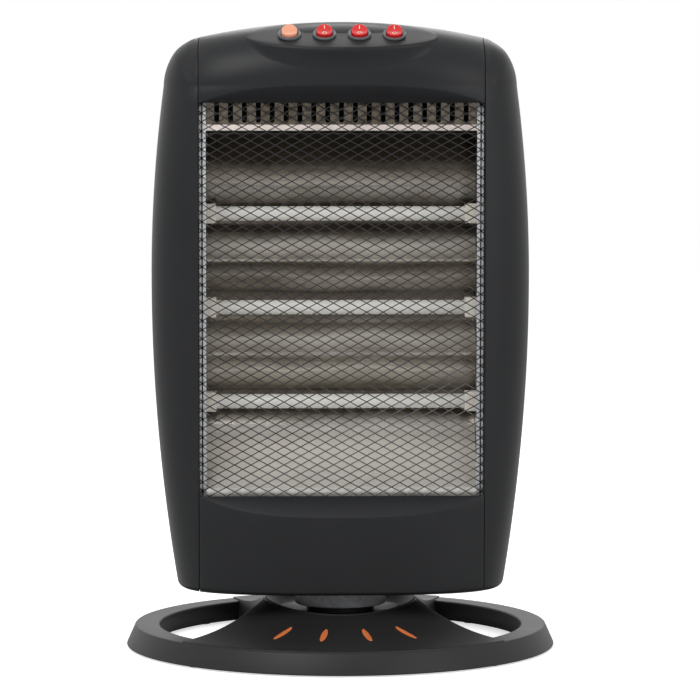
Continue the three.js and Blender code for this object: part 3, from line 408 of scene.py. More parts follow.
def painted_shade_sheet(name, base):
    """Polished aluminium with painted shade: brown bands beside each tube and a dark band under the vent stand for
    the dark reflections there, and where the bands are bright the metal is made less metallic, so that it reads
    paler."""
    made = sheet_metal(name, base, 0.15, 26, 0.6, 0.08, (0.35, 1.0, 1.6))
    tree = made.node_tree
    shader = next(n for n in tree.nodes if n.type == "BSDF_PRINCIPLED")
    coat = shader.inputs["Base Color"].links[0].from_socket
    place = node(tree, "ShaderNodeTexCoord").outputs["Object"]
    along = node(tree, "ShaderNodeMapping", {"Vector": place, "Scale": (14.0, 1.0, 30.0)})
    drift = node(tree, "ShaderNodeTexNoise", {"Vector": along, "Scale": 1.0, "Detail": 2.0})
    level = node(tree, "ShaderNodeSeparateXYZ", {0: place})
    waver = 12
    wavering = node(tree, "ShaderNodeMath", {0: drift, 1: waver * MM, 2: level.outputs["Z"]},
                    operation="MULTIPLY_ADD")
    share = node(tree, "ShaderNodeMapRange", {"Value": wavering, "From Min": (SHEET_LOW + waver / 2) * MM,
                                              "From Max": (SHEET_HIGH + waver / 2) * MM})
    ramp = node(tree, "ShaderNodeValToRGB", {"Fac": share})
    stops = ramp.color_ramp.elements
    # Painted shade and dark reflection in bands above and below each tube
    shade_bands = [(tube + rise, tone) for tube in TUBE_Z for rise, tone in PAINTED_SHADE_STEPS]
    for height, tone in sorted([*shade_bands, *PAINTED_SHADE_ENDS]):
        # The darker the painted shade, the browner
        stops.new((height - SHEET_LOW) / (SHEET_HIGH - SHEET_LOW)).color = (tone, tone ** 1.06, tone ** 1.14, 1.0)
    # Painted shade at the sheet's lower edge, and a painted dark band at its top
    stops[0].color, stops[-1].color = (0.4, 0.38, 0.36, 1.0), (0.06, 0.055, 0.05, 1.0)
    shade_mix = node(tree, "ShaderNodeMix", {"Factor": 1.0, "A": coat, "B": ramp}, data_type="RGBA",
                  blend_type="MULTIPLY")
    tree.links.new(shade_mix.outputs["Result"], shader.inputs["Base Color"])
    # Where the painted bands are brightest, the metal is made less metallic and reads paler
    less_metal_where_bright = node(tree, "ShaderNodeMapRange", {"Value": ramp, "From Min": 0.5, "From Max": 1.0, "To Min": 1.0,
                                              "To Max": 0.3})
    tree.links.new(less_metal_where_bright.outputs[0], shader.inputs["Metallic"])
    return made


def enamelled_wire(name, base):
    """Black stove enamel on steel wire: smooth, glossy, with a thin coat over it."""
    coat = {"Coat Weight": 0.3, "Coat Roughness": 0.15}
    made, tree, shader, place = new_finish(name, base, 0.38, extra=coat)
    beads = node(tree, "ShaderNodeTexNoise", {"Vector": place, "Scale": 420.0, "Detail": 2.0})
    dress(tree, shader, base, (beads, 0.7, 1.5))
    return made


def frosted_quartz(name, base):
    """Satin-etched quartz glass: milky, lets a little light through and spreads it."""
    made, tree, shader, place = new_finish(name, base, 0.5, ior=1.46, extra={"Transmission Weight": 0.06})
    cloud = node(tree, "ShaderNodeTexNoise", {"Vector": place, "Scale": 140.0, "Detail": 4.0})
    dress(tree, shader, base, (cloud, 0.9, 1), relief=(cloud, 0.3, 0.03))
    return made


def fired_ceramic(name, base):
    """Unglazed steatite: matt, cream, with fine specks and a dry pressed grain."""
    made, tree, shader, place = new_finish(name, base, 0.75, ior=1.6)
    specks = node(tree, "ShaderNodeTexVoronoi", {"Vector": place, "Scale": 900.0})
    grain = node(tree, "ShaderNodeTexNoise", {"Vector": place, "Scale": 700.0, "Detail": 3.0})
    spread = node(tree, "ShaderNodeMapRange", {"Value": specks, "From Min": 0.05, "From Max": 0.4})
    dress(tree, shader, base, (spread, 0.72, 1), relief=(grain, 0.6, 0.1))
    return made


def cast_rubber(name, base):
    """Moulded rubber: dull and slightly pitted."""
    made, tree, shader, place = new_finish(name, base, 0.85, ior=1.52)
    pits = node(tree, "ShaderNodeTexNoise", {"Vector": place, "Scale": 900.0, "Detail": 4.0})
    dress(tree, shader, base, (pits, 0.7, 1.4), relief=(pits, 0.6, 0.12))
    return made


def once(name, recipe, *arguments):
    """A material by name, made the first time it is asked for."""
    return bpy.data.materials.get(name) or recipe(name, *arguments)


def geometry_tree(name, floats, counts=(), vectors=()):
    """A geometry tree with named inputs and a finish, and the group input's sockets by name."""
    tree = bpy.data.node_groups.new(name, "GeometryNodeTree")
    kinds = {**dict.fromkeys(floats, "NodeSocketFloat"), **dict.fromkeys(counts, "NodeSocketInt"),
             **dict.fromkeys(vectors, "NodeSocketVector"), "Finish": "NodeSocketMaterial"}
    for label, kind in kinds.items():
        tree.interface.new_socket(name=label, in_out="INPUT", socket_type=kind)
    tree.interface.new_socket(name="Geometry", in_out="OUTPUT", socket_type="NodeSocketGeometry")
    given = node(tree, "NodeGroupInput")
    return tree, {label: given.outputs[label] for label in kinds}


def end_tree(tree, geometry, finish_socket):
    """Ends a tree in Realize Instances and Set Material."""
    real = node(tree, "GeometryNodeRealizeInstances", {"Geometry": geometry})
    coated = node(tree, "GeometryNodeSetMaterial", {"Geometry": real, "Material": finish_socket})
    node(tree, "NodeGroupOutput", {"Geometry": coated})
    return tree


def slot_outline(tree, width, height, narrow, count):
    """The outline of a slot with rounded ends; narrow is the smaller of its two sizes."""
    outline = node(tree, "GeometryNodeCurvePrimitiveQuadrilateral", {"Width": width, "Height": height})
    half = node(tree, "ShaderNodeMath", {0: narrow, 1: 0.49}, operation="MULTIPLY")
    return node(tree, "GeometryNodeFilletCurve", {"Curve": outline, "Radius": half, "Count": count}, mode="POLY")


def grow(name, tree, values):
    """The plain mesh object that a geometry tree makes from these values."""
    piece = bpy.data.objects.new(name, bpy.data.meshes.new(name))
    bpy.context.scene.collection.objects.link(piece)
    modifier = piece.modifiers.new("Geometry", "NODES")
    modifier.node_group = tree
    for socket in tree.interface.items_tree:
        if socket.item_type == "SOCKET" and socket.in_out == "INPUT":
            modifier[socket.identifier] = values[socket.name]
    settle(piece)
    piece.data.polygons.foreach_set("material_index", [0] * len(piece.data.polygons))
    piece.data.materials.clear()
    piece.data.materials.append(values["Finish"])
    return piece


# ---------------------------------------------------------------- body form

def side_half(z):
    """Half width of the body at a height."""
    z = np.asarray(z, float)
    bow = lambda level: WAIST_HALF - (level - WAIST_Z) ** 2 / (2 * np.where(level < WAIST_Z, BOW_BELOW, BOW_ABOVE))
    drop = np.clip((FLOOR_Z + HEEL - z) / HEEL, 0, 1)
    rise = np.clip((z - SHOULDER_Z) / (crown_at(SEAM_X) - SHOULDER_Z), 0, 1)
    swell = (1 - rise ** SHOULDER_POWER) ** (1 / SHOULDER_POWER)
    upper = SEAM_X + (bow(SHOULDER_Z) - SEAM_X) * swell
    return np.where(z > SHOULDER_Z, upper, bow(z) - HEEL * (1 - np.sqrt(1 - drop ** 2)))


def crown_at(x):
    """Height of the bowed top across the body."""
    return CROWN_Z - x * x / (2 * CROWN_RADIUS)


def depth_at(x, depth, power):
    """Depth of the top's outline across the body, to the front or to the rear."""
    across = np.minimum(0.85, np.abs(x) / side_half(CROWN_Z - ROLL))
    return depth * (1 - across ** power) ** (1 / power)


def front_surface(x, z):
    """Where the rolled front of the top is, across the body and at a height."""
    rise = np.maximum(0, z - (crown_at(x) - ROLL))
    return -depth_at(x, FRONT_DEPTH, FRONT_POWER) + ROLL - np.sqrt(np.maximum(0, ROLL ** 2 - rise ** 2))


def body_ring(angles, half, inset=0.0):
    """The body's outline at a height where its half width is this, as x and y."""
    c, s = np.cos(angles), np.sin(angles)
    power = np.where(s < 0, FRONT_POWER, REAR_POWER)
    depth = np.where(s < 0, FRONT_DEPTH, REAR_DEPTH) - inset
    return (half - inset) * np.sign(c) * np.abs(c) ** (2 / power), depth * np.sign(s) * np.abs(s) ** (2 / power)


def top_gap(x, y, z):
    """Distance past the top: the rolled crown blended into the sides, softly over the outer corners."""
    ahead = np.maximum(-depth_at(x, FRONT_DEPTH, FRONT_POWER) + ROLL - y,
                       y - depth_at(x, REAR_DEPTH, REAR_POWER) + ROLL)
    above = z - (crown_at(x) - ROLL)
    crown = np.where((ahead > 0) & (above > 0), np.hypot(ahead, above), np.maximum(ahead, above)) - ROLL
    depth = np.where(y < 0, FRONT_DEPTH, REAR_DEPTH)
    power = np.where(y < 0, FRONT_POWER, REAR_POWER)
    half = side_half(z)
    side = ((np.abs(x) / half) ** power + (np.abs(y) / depth) ** power) ** (1 / power) * half - half
    ease = lambda t: np.clip(t, 0, 1) ** 2 * (3 - 2 * np.clip(t, 0, 1))
    # The blend is up to 7 mm wide, from x = 106 outwards and from the foot of the top upwards
    soft = 7.0 * ease((np.abs(x) - 106) / 14) * ease((z - DOME_Z) / 15) + 1e-6
    return np.maximum(crown, side) + np.maximum(soft - np.abs(crown - side), 0) ** 2 / (4 * soft)


def body_skin():
    """The whole body as one skin, open only where the collar enters the floor."""
    around, dome_rows = 256, 60
    dense = np.linspace(0, 2 * np.pi, 40001)
    x, y = body_ring(dense, WAIST_HALF)
    run = np.concatenate([[0], np.cumsum(np.hypot(np.diff(x), np.diff(y)))])
    turn = np.interp(np.linspace(0, run[-1], around, endpoint=False), run, dense)
    fx, fy = body_ring(turn, side_half(FLOOR_Z), FLOOR_EDGE)
    edge, hole = np.stack([fx, fy, 0 * turn], -1), ring_at(COLLAR_RADIUS + 0.6, np.arctan2(fy, fx), 0)
    rows = [hole * (1 - t) + edge * t + (0, 0, FLOOR_Z) for t in (0, 0.12, 0.4, 0.75, 0.95)]
    levels = [FLOOR_Z + HEEL * (1 - math.cos(t)) for t in np.linspace(0, np.pi / 2, 12)]
    levels += list(np.linspace(FLOOR_Z + HEEL, DOME_Z, 34)[1:])
    for z in levels:
        inset = FLOOR_EDGE - math.sqrt(max(0.0, FLOOR_EDGE ** 2 - max(0.0, FLOOR_EDGE - (z - FLOOR_Z)) ** 2))
        bx, by = body_ring(turn, side_half(z), inset)
        rows.append(np.stack([bx, by, np.full(around, z)], -1))
    bx, by = body_ring(turn, side_half(DOME_Z))
    for t in np.linspace(0, np.pi / 2, dome_rows + 1)[1:]:
        # Along each line from the middle of the top, halve the range in which it leaves the body
        rise = np.full(around, math.sin(t) * (CROWN_Z - DOME_Z))
        toward = np.stack([math.cos(t) * bx, math.cos(t) * (by - DOME_Y), rise], -1)
        near, far = np.full(around, 0.3), np.full(around, 1.4)
        for _ in range(36):
            middle = (near + far) / 2
            outside = top_gap(*(toward * middle[:, None] + (0, DOME_Y, DOME_Z)).T) > 0
            near, far = np.where(outside, near, middle), np.where(outside, middle, far)
        rows.append(toward * near[:, None] + (0, DOME_Y, DOME_Z))
    return np.concatenate(rows), grid_faces(len(rows), around, wrap=True)


def trim(bm, point, keep):
    """Cuts a skin at a plane, keeps the side that keep points to, and closes up slivers along the cut."""
    sliver = 0.7
    made = bmesh.ops.bisect_plane(bm, geom=bm.verts[:] + bm.edges[:] + bm.faces[:], dist=1e-4, plane_co=point,
                                  plane_no=keep, clear_inner=True)
    line = [v for v in made["geom_cut"] if isinstance(v, bmesh.types.BMVert)]
    on_line, near = set(line), {}
    for vertex in line:  # in the list's order, because a set's order changes from run to run
        for link in vertex.link_edges:
            other, gap = link.other_vert(vertex), link.calc_length()
            if other not in on_line and gap < near.get(other, (sliver, None))[0]:
                near[other] = gap, vertex
    bmesh.ops.weld_verts(bm, targetmap={other: vertex for other, (_, vertex) in near.items()})


def cover(name, cuts, window=None):
    """A moulded cover: part of the body's skin, with its bevel to the window and its wall.

    Window is the height of the window's edge, the bevel's slope, and 1 above the window or -1 below it.
    """
    points, faces = body_skin()
    piece = make(name, points / MM, faces)
    bm = bmesh.new()
    bm.from_mesh(piece.data)
    bmesh.ops.remove_doubles(bm, verts=bm.verts, dist=0.02)
    bmesh.ops.recalc_face_normals(bm, faces=bm.faces)
    if window:
        edge_z, slope, side = window
        cuts = [*cuts, ((0, 0, edge_z), (0, 0, side)), ((0, BEVEL_Y, edge_z), (0, slope, side))]
    for point, keep in cuts:
        trim(bm, point, keep)
    if window:
        bevel_z = lambda y: edge_z + side * slope * (BEVEL_Y - y)
        on_cut = lambda v: abs(v.co.z - bevel_z(v.co.y)) < 0.002 and v.co.y < BEVEL_Y + 0.001
        rim = [e for e in bm.edges if e.is_boundary and all(on_cut(v) for v in e.verts)]
        corners = dict.fromkeys(v for e in rim for v in e.verts)
        inner = {v: bm.verts.new((v.co.x, BEVEL_Y, edge_z)) for v in corners}
        for e in rim:
            loop = e.link_loops[0]
            a, b = loop.vert, loop.link_loop_next.vert
            bm.faces.new((b, a, inner[a], inner[b]))
        bmesh.ops.remove_doubles(bm, verts=bm.verts, dist=0.01)
    bmesh.ops.dissolve_degenerate(bm, dist=0.001, edges=bm.edges)
    bmesh.ops.scale(bm, vec=(MM, MM, MM), verts=bm.verts)
    bm.to_mesh(piece.data)
    bm.free()
    modify(piece, "SOLIDIFY", thickness=bpy.context.scene.heater_housing.wall, offset=-1.0,
           use_even_offset=False, use_quality_normals=True)
    return piece


def soften(piece, width, angle=38):
    """Rounds the edges that are sharper than this angle."""
    modify(piece, "BEVEL", width=width, segments=2, limit_method="ANGLE", angle_limit=math.radians(angle),
           use_clamp_overlap=True, miter_outer="MITER_ARC")


def housing_finish():
    """The plastic of all five covers."""
    return once("moulded_abs_housing", moulded_plastic, bpy.context.scene.heater_housing.plastic, 0.42, 1.1, 0.06)


# ---------------------------------------------------------------- control pod

def pod_section(share):
    """Back edge, lip and chin of the pod at a share of its half length, as (y, z)."""
    fade = 1 - math.sqrt(max(0.0, 1 - share * share))
    mix = lambda middle, tip: middle + (tip - middle) * fade
    return (mix(-35.0, -43.5), mix(CROWN_Z, 467.0)), (mix(-72.0, -44.5), mix(457.9, 466.5)), mix(440.3, 463.6)


def switch_place(i):
    """Centre and tilt of a switch on the pod's panel."""
    x = (i - 1.5) * 26.2
    (back_y, back_z), (lip_y, lip_z), _ = pod_section(x / POD_HALF)
    y, z = lip_y + (back_y - lip_y) * 0.49, lip_z + (back_z - lip_z) * 0.49
    tilt = math.atan2(back_z - lip_z, back_y - lip_y)
    return Matrix.Translation(Vector((x, y, z)) * MM) @ Matrix.Rotation(tilt, 4, "X")


def pod():
    """The control pod as a closed form sunk into the top cover."""
    lip_height = bpy.context.scene.heater_housing.lip / MM
    rings = []
    for t in np.linspace(-1, 1, 81):
        share = 0.9998 * math.sin(t * math.pi / 2)
        x = POD_HALF * share
        back, lip, chin_z = (np.asarray(p) for p in pod_section(share))
        low_z = max(lip[1] - lip_height, chin_z + 0.4)
        along = (lip - back) / np.linalg.norm(lip - back)
        soft = min(1.5, np.linalg.norm(lip - back) * 0.4)
        section = [np.array((back[0] + 9, back[1] - 9)), back + (1.6, -1.3), back + (0.5, -0.15)]
        section += [back + (lip - back) * s for s in (0.04, 0.25, 0.5, 0.75)]
        start, end = lip - along * soft, lip + np.array((0, -soft))
        section += [start * (1 - s) ** 2 + lip * 2 * s * (1 - s) + end * s * s for s in np.linspace(0, 1, 6)]
        stand = front_surface(x, low_z) - lip[0]
        for s in np.linspace(1, 0, 14):
            z = chin_z + (low_z - chin_z) * s
            section.append(np.array((front_surface(x, z) - stand * s ** 1.7 + 0.12 * (1 - s), z)))
        section += [np.array((front_surface(x, chin_z) + 5, chin_z - 1.5)), np.array((back[0] + 9, chin_z - 1.5))]
        rings.append([(x, y, z) for y, z in section])
    return make("pod", rings, closed_faces(len(rings), len(rings[0])))


def drum(name, radius, low, high, place, segments=48):
    """A plain drum for cutting a round hole."""
    faces = grid_faces(2, segments, wrap=True)
    faces += [tuple(reversed(range(segments))), tuple(range(segments, 2 * segments))]
    tool = make(name, [ring_at(radius, whole_turn(segments), z) for z in (low, high)], faces)
    tool.data.transform(place)
    return tool


class HEATER_OT_centre_covers(bpy.types.Operator):
    """Front top cover with the control pod, and front bottom cover"""
    bl_idname = "heater.centre_covers"
    bl_label = "Centre covers"

    def execute(self, context):
        sizes = context.scene.heater_housing
        inner = SEAM_X - sizes.seam / MM / 2
        sides = [((inner, 0, 0), (-1, 0, 0)), ((-inner, 0, 0), (1, 0, 0)), ((0, REAR_SEAM_Y, 0), (0, -1, 0))]
        holes = lambda: [drum("hole", 8.4, -14, 12, switch_place(i)) for i in range(4)]
        top = cover("front_top", sides, (WINDOW_HIGH, UPPER_SLOPE, 1))
        cut(top, *holes())
        soften(top, sizes.edge)
        crest = pod()
        cut(crest, *holes())
        merge(top, crest)
        complete(top, "heater_body", "front_top_cover", housing_finish())
        bottom = cover("front_bottom", sides, (WINDOW_LOW, LOWER_SLOPE, -1))
        soften(bottom, sizes.edge)
        complete(bottom, "heater_body", "front_bottom_cover", housing_finish())
        return {"FINISHED"}


class HEATER_OT_side_covers(bpy.types.Operator):
    """Left and right side covers, which close the corners of the top"""
    bl_idname = "heater.side_covers"
    bl_label = "Side covers"

    def execute(self, context):
        sizes = context.scene.heater_housing
        outer = SEAM_X + sizes.seam / MM / 2
        for side, sign in (("left", -1), ("right", 1)):
            piece = cover(f"side_{side}", [((sign * outer, 0, 0), (sign, 0, 0)), ((0, REAR_SEAM_Y, 0), (0, -1, 0))])
            soften(piece, sizes.edge)
            complete(piece, "heater_body", f"side_cover_{side}", housing_finish())
        return {"FINISHED"}


def louvre_tree():
    """Slanted slot-shaped solids in two columns, for cutting the louvres."""
    tree, given = geometry_tree("louvre_slots", ("Length", "Opening", "Slope", "Depth", "Spread", "Height"),
                                ("Rows",), ("Centre",))
    soft = slot_outline(tree, given["Length"], given["Opening"], given["Opening"], 5)
    flat = node(tree, "GeometryNodeFillCurve", {"Curve": soft}, mode="NGONS")
    drawn = node(tree, "GeometryNodeExtrudeMesh", {"Mesh": flat, "Offset Scale": given["Depth"], "Individual": False})
    back = node(tree, "GeometryNodeFlipFaces", {"Mesh": flat})
    both = node(tree, "GeometryNodeJoinGeometry", {"Geometry": drawn})
    tree.links.new(back.outputs[0], both.inputs[0])
    closed = node(tree, "GeometryNodeMergeByDistance", {"Geometry": both, "Distance": 1e-6})
    upright = node(tree, "GeometryNodeTransform", {"Geometry": closed, "Rotation": (math.pi / 2, 0, 0)})
    depth = node(tree, "ShaderNodeSeparateXYZ", {0: node(tree, "GeometryNodeInputPosition")})
    lean = node(tree, "ShaderNodeMath", {0: depth.outputs["Y"], 1: given["Slope"]}, operation="MULTIPLY")
    lower = node(tree, "ShaderNodeMath", {0: lean, 1: -1.0}, operation="MULTIPLY")
    shift = node(tree, "ShaderNodeCombineXYZ", {"Z": lower})
    slanted = node(tree, "GeometryNodeSetPosition", {"Geometry": upright, "Offset": shift})
    grid = node(tree, "GeometryNodeMeshGrid", {"Size X": given["Spread"], "Size Y": given["Height"], "Vertices X": 2,
                                               "Vertices Y": given["Rows"]})
    wall = node(tree, "GeometryNodeTransform", {"Geometry": grid, "Rotation": (math.pi / 2, 0, 0),
                                                "Translation": given["Centre"]})
    slots = node(tree, "GeometryNodeInstanceOnPoints", {"Points": wall, "Instance": slanted})
    return end_tree(tree, slots, given["Finish"])


class HEATER_OT_rear_cover(bpy.types.Operator):
    """Rear cover with its louvres and the recessed hand grip"""
    bl_idname = "heater.rear_cover"
    bl_label = "Rear cover"

    def execute(self, context):
        sizes = context.scene.heater_housing
        piece = cover("rear", [((0, REAR_SEAM_Y + 0.3, 0), (0, 1, 0))])
        slots = grow("slots", louvre_tree(), {
            "Length": 0.068, "Opening": 0.004, "Slope": 0.5, "Depth": 0.016, "Spread": 0.092, "Height": 0.114,
            "Rows": 7, "Centre": (0, 0.059, 0.236), "Finish": housing_finish()})
        tidy(slots.data)
        half_width, half_height, middle = 48, 13, 427
        mouth = rounded(rectangle(-half_width, middle - half_height, half_width, middle + half_height), 5, 5)

        def hollow(name, reach, front, rear):
            wider, taller = 1 + reach / half_width, 1 + reach / half_height
            points = [(x * wider, y, middle + (z - middle) * taller) for y in (front, rear) for x, z in mouth]
            return make(name, points, closed_faces(2, len(mouth)))

        cut(piece, slots, hollow("mouth", 0, 38, 70))
        cup = hollow("cup", 2.5, 35.5, 50.6)
        cut(cup, hollow("mouth", 0, 38, 70))
        merge(piece, cup)
        soften(piece, sizes.edge)
        complete(piece, "heater_body", "rear_cover", housing_finish())
        return {"FINISHED"}


# ---------------------------------------------------------------- guard

def guard_tree():
    """Two layers of wires clipped to the window, folded back at both sides, and their rim.

    A wire's own length runs from -1 to 1. Its place u across the window, measured along the sheet of the
    guard, becomes x and y once the sheet is folded back past Fold.
    """
    tree, given = geometry_tree("wire_guard", ("Wire", "Rim", "Slope", "Step", "First", "Low", "High", "Reach",
                                               "Fold", "Bend", "Plane", "Layer"), ("Count",))
    place = node(tree, "ShaderNodeSeparateXYZ", {0: node(tree, "GeometryNodeInputPosition")})
    laying = [("tilt", "MULTIPLY", "Slope", "direction"),
              ("to_low", "SUBTRACT", "Low", "level"), ("to_high", "SUBTRACT", "High", "level"),
              ("a", "DIVIDE", "to_low", "tilt"), ("b", "DIVIDE", "to_high", "tilt"),
              ("least", "MINIMUM", "a", "b"), ("most", "MAXIMUM", "a", "b"),
              ("left_end", "MULTIPLY", "Reach", -1.0), ("u0", "MAXIMUM", "least", "left_end"),
              ("u1", "MINIMUM", "most", "Reach"), ("span", "SUBTRACT", "u1", "u0"),
              ("enough", "GREATER_THAN", "span", 0.006),  # a shorter wire would have nothing to hold it
              ("quarter", "MULTIPLY", "t", math.pi / 2), ("swing", "SINE", "quarter"),
              ("centred", "MULTIPLY_ADD", "swing", 0.5, 0.5), ("u", "MULTIPLY_ADD", "centred", "span", "u0"),
              ("ahead", "MULTIPLY", "Layer", "direction"), ("v", "MULTIPLY_ADD", "tilt", "u", "level")]
    framing = [("wide", "MULTIPLY", "Reach", 2.0), ("high", "SUBTRACT", "High", "Low"),
               ("sum", "ADD", "High", "Low"), ("middle", "MULTIPLY", "sum", 0.5)]
    folding = [("size", "ABSOLUTE", "u"), ("side", "SIGN", "u"),
               ("over", "SUBTRACT", "size", "Fold"), ("past", "MAXIMUM", "over", 0.0),
               ("raw", "DIVIDE", "past", "Bend"), ("angle", "MINIMUM", "raw", math.pi / 4),
               ("arc", "MULTIPLY", "Bend", math.pi / 4), ("left", "SUBTRACT", "past", "arc"),
               ("rest", "MAXIMUM", "left", 0.0), ("straight", "MULTIPLY", "rest", math.sqrt(0.5)),
               ("sine", "SINE", "angle"), ("cosine", "COSINE", "angle"),
               ("flat", "MINIMUM", "size", "Fold"), ("round", "MULTIPLY", "Bend", "sine"),
               ("x1", "ADD", "flat", "round"), ("x2", "ADD", "x1", "straight"),
               ("out", "MULTIPLY", "sine", "ahead"), ("x3", "ADD", "x2", "out"), ("x", "MULTIPLY", "x3", "side"),
               ("drop", "SUBTRACT", 1.0, "cosine"), ("y1", "MULTIPLY", "Bend", "drop"),
               ("y2", "ADD", "y1", "straight"), ("front", "MULTIPLY", "cosine", "ahead"),
               ("y3", "SUBTRACT", "y2", "front"), ("y", "ADD", "y3", "Plane")]
    sums = []
    for direction, steps in ((1.0, laying), (-1.0, laying), (0.0, framing)):
        known = {**given, "t": place.outputs["X"], "u": place.outputs["X"], "level": place.outputs["Z"],
                 "direction": direction, "ahead": 0.0}
        for name, operation, *terms in steps + folding:
            values = {i: known.get(term, term) for i, term in enumerate(terms)}
            known[name] = node(tree, "ShaderNodeMath", values, operation=operation)
        sums.append(known)
    together = node(tree, "GeometryNodeJoinGeometry")
    *layers, frame_sums = sums
    for known in layers:
        start = node(tree, "ShaderNodeCombineXYZ", {"Z": given["First"]})
        step = node(tree, "ShaderNodeCombineXYZ", {"Z": given["Step"]})
        levels = node(tree, "GeometryNodeMeshLine", {"Count": given["Count"], "Start Location": start,
                                                     "Offset": step}, mode="OFFSET", count_mode="TOTAL")
        wire = node(tree, "GeometryNodeCurvePrimitiveLine", {"Start": (-1, 0, 0), "End": (1, 0, 0)})
        points = node(tree, "GeometryNodeResampleCurve", {"Curve": wire, "Count": 20})
        wires = node(tree, "GeometryNodeInstanceOnPoints", {"Points": levels, "Selection": known["enough"],
                                                            "Instance": points})
        real = node(tree, "GeometryNodeRealizeInstances", {"Geometry": wires})
        spot = node(tree, "ShaderNodeCombineXYZ", {"X": known["x"], "Y": known["y"], "Z": known["v"]})
        laid = node(tree, "GeometryNodeSetPosition", {"Geometry": real, "Position": spot})
        radius = node(tree, "ShaderNodeMath", {0: given["Wire"], 1: 0.5}, operation="MULTIPLY")
        section = node(tree, "GeometryNodeCurvePrimitiveCircle", {"Resolution": 5, "Radius": radius})
        rod = node(tree, "GeometryNodeCurveToMesh", {"Curve": laid, "Profile Curve": section, "Fill Caps": True})
        tree.links.new(rod.outputs[0], together.inputs[0])
    loop = node(tree, "GeometryNodeCurvePrimitiveQuadrilateral", {"Width": frame_sums["wide"],
                                                                  "Height": frame_sums["high"]})
    corners = node(tree, "GeometryNodeFilletCurve", {"Curve": loop, "Radius": 0.004, "Count": 4}, mode="POLY")
    even = node(tree, "GeometryNodeResampleCurve", {"Curve": corners, "Length": 0.0025}, mode="LENGTH")
    lift = node(tree, "ShaderNodeCombineXYZ", {"Z": frame_sums["middle"]})
    upright = node(tree, "GeometryNodeTransform", {"Geometry": even, "Rotation": (math.pi / 2, 0, 0),
                                                   "Translation": lift})
    spot = node(tree, "ShaderNodeCombineXYZ", {"X": frame_sums["x"], "Y": frame_sums["y"], "Z": place.outputs["Z"]})
    bent = node(tree, "GeometryNodeSetPosition", {"Geometry": upright, "Position": spot})
    thick = node(tree, "ShaderNodeMath", {0: given["Rim"], 1: 0.5}, operation="MULTIPLY")
    section = node(tree, "GeometryNodeCurvePrimitiveCircle", {"Resolution": 8, "Radius": thick})
    rod = node(tree, "GeometryNodeCurveToMesh", {"Curve": bent, "Profile Curve": section})
    tree.links.new(rod.outputs[0], together.inputs[0])
    return end_tree(tree, together, given["Finish"])


class HEATER_OT_guard(bpy.types.Operator):
    """Diamond wire guard, folded back at both sides behind the side covers"""
    bl_idname = "heater.guard"
    bl_label = "Wire guard"

    def execute(self, context):
        sizes = context.scene.heater_guard
        slope = sizes.height / sizes.width
        reach, low, high = 0.1129, (WINDOW_LOW - 3.5) * MM, (WINDOW_HIGH + 3.5) * MM
        first = low - slope * reach + sizes.height / 2
        count = math.ceil((high + slope * reach - first) / sizes.height)
        fold = 0.103 - sizes.fold * math.tan(math.pi / 8)
        piece = grow("guard", guard_tree(), {
            "Wire": sizes.wire, "Rim": sizes.rim, "Slope": slope, "Step": sizes.height, "First": first,
            "Count": count, "Low": low, "High": high, "Reach": reach, "Fold": fold, "Bend": sizes.fold,
            "Plane": -0.0482, "Layer": 0.00055,
            "Finish": once("black_enamelled_wire", enamelled_wire, sizes.enamel)})
        tidy(piece.data)
        complete(piece, "heater_body", "guard_grille", angle=60)
        return {"FINISHED"}


# ---------------------------------------------------------------- reflector, vent strip and end plates

class HEATER_OT_reflector(bpy.types.Operator):
    """Polished reflector with a trough behind each tube"""
    bl_idname = "heater.reflector"
    bl_label = "Reflector"

    def execute(self, context):
        sizes = context.scene.heater_metal
        front, back, ridge = -40.2, 22.0, -8.0

        def trough(deep, end, end_y, count):
            """One flank of a trough, from its deepest level to its edge."""
            levels = np.linspace(deep, end, count)
            return [(back - (back - end_y) * abs((z - deep) / (end - deep)) ** 2, z) for z in levels]

        def nose(level):
            """The rounded top of the ridge between two troughs."""
            turn = np.radians((-40, -20, 0, 20, 40))
            return [(ridge + 0.62 - 1.2 * math.cos(a), level + 1.2 * math.sin(a)) for a in turn]

        line = [(front, SHEET_LOW)] + trough(186, 125, front, 30)[::-1] + trough(186, 224, ridge, 18)[1:]
        line += nose(225) + trough(261, 226, ridge, 16)[::-1] + trough(261, 296, ridge, 16)[1:]
        line += nose(297) + trough(336, 298, ridge, 18)[::-1] + trough(336, SHEET_HIGH, front, 30)[1:]
        stations = np.linspace(-SHEET_HALF, SHEET_HALF, 9)
        points = [(x, y, z) for x in stations for y, z in line]
        piece = make("reflector_sheet", points, grid_faces(len(stations), len(line)), outward=False)
        modify(piece, "SOLIDIFY", thickness=sizes.sheet, offset=0.0, use_even_offset=True, use_quality_normals=True)
        tidy(piece.data)
        # Its brown bands are painted shade and dark reflection beside the tubes and under the vent
        finish_used = once("heat_tinted_polished_aluminium", painted_shade_sheet, sizes.polished)
        complete(piece, "heater_body", "reflector", finish_used, angle=25)
        return {"FINISHED"}


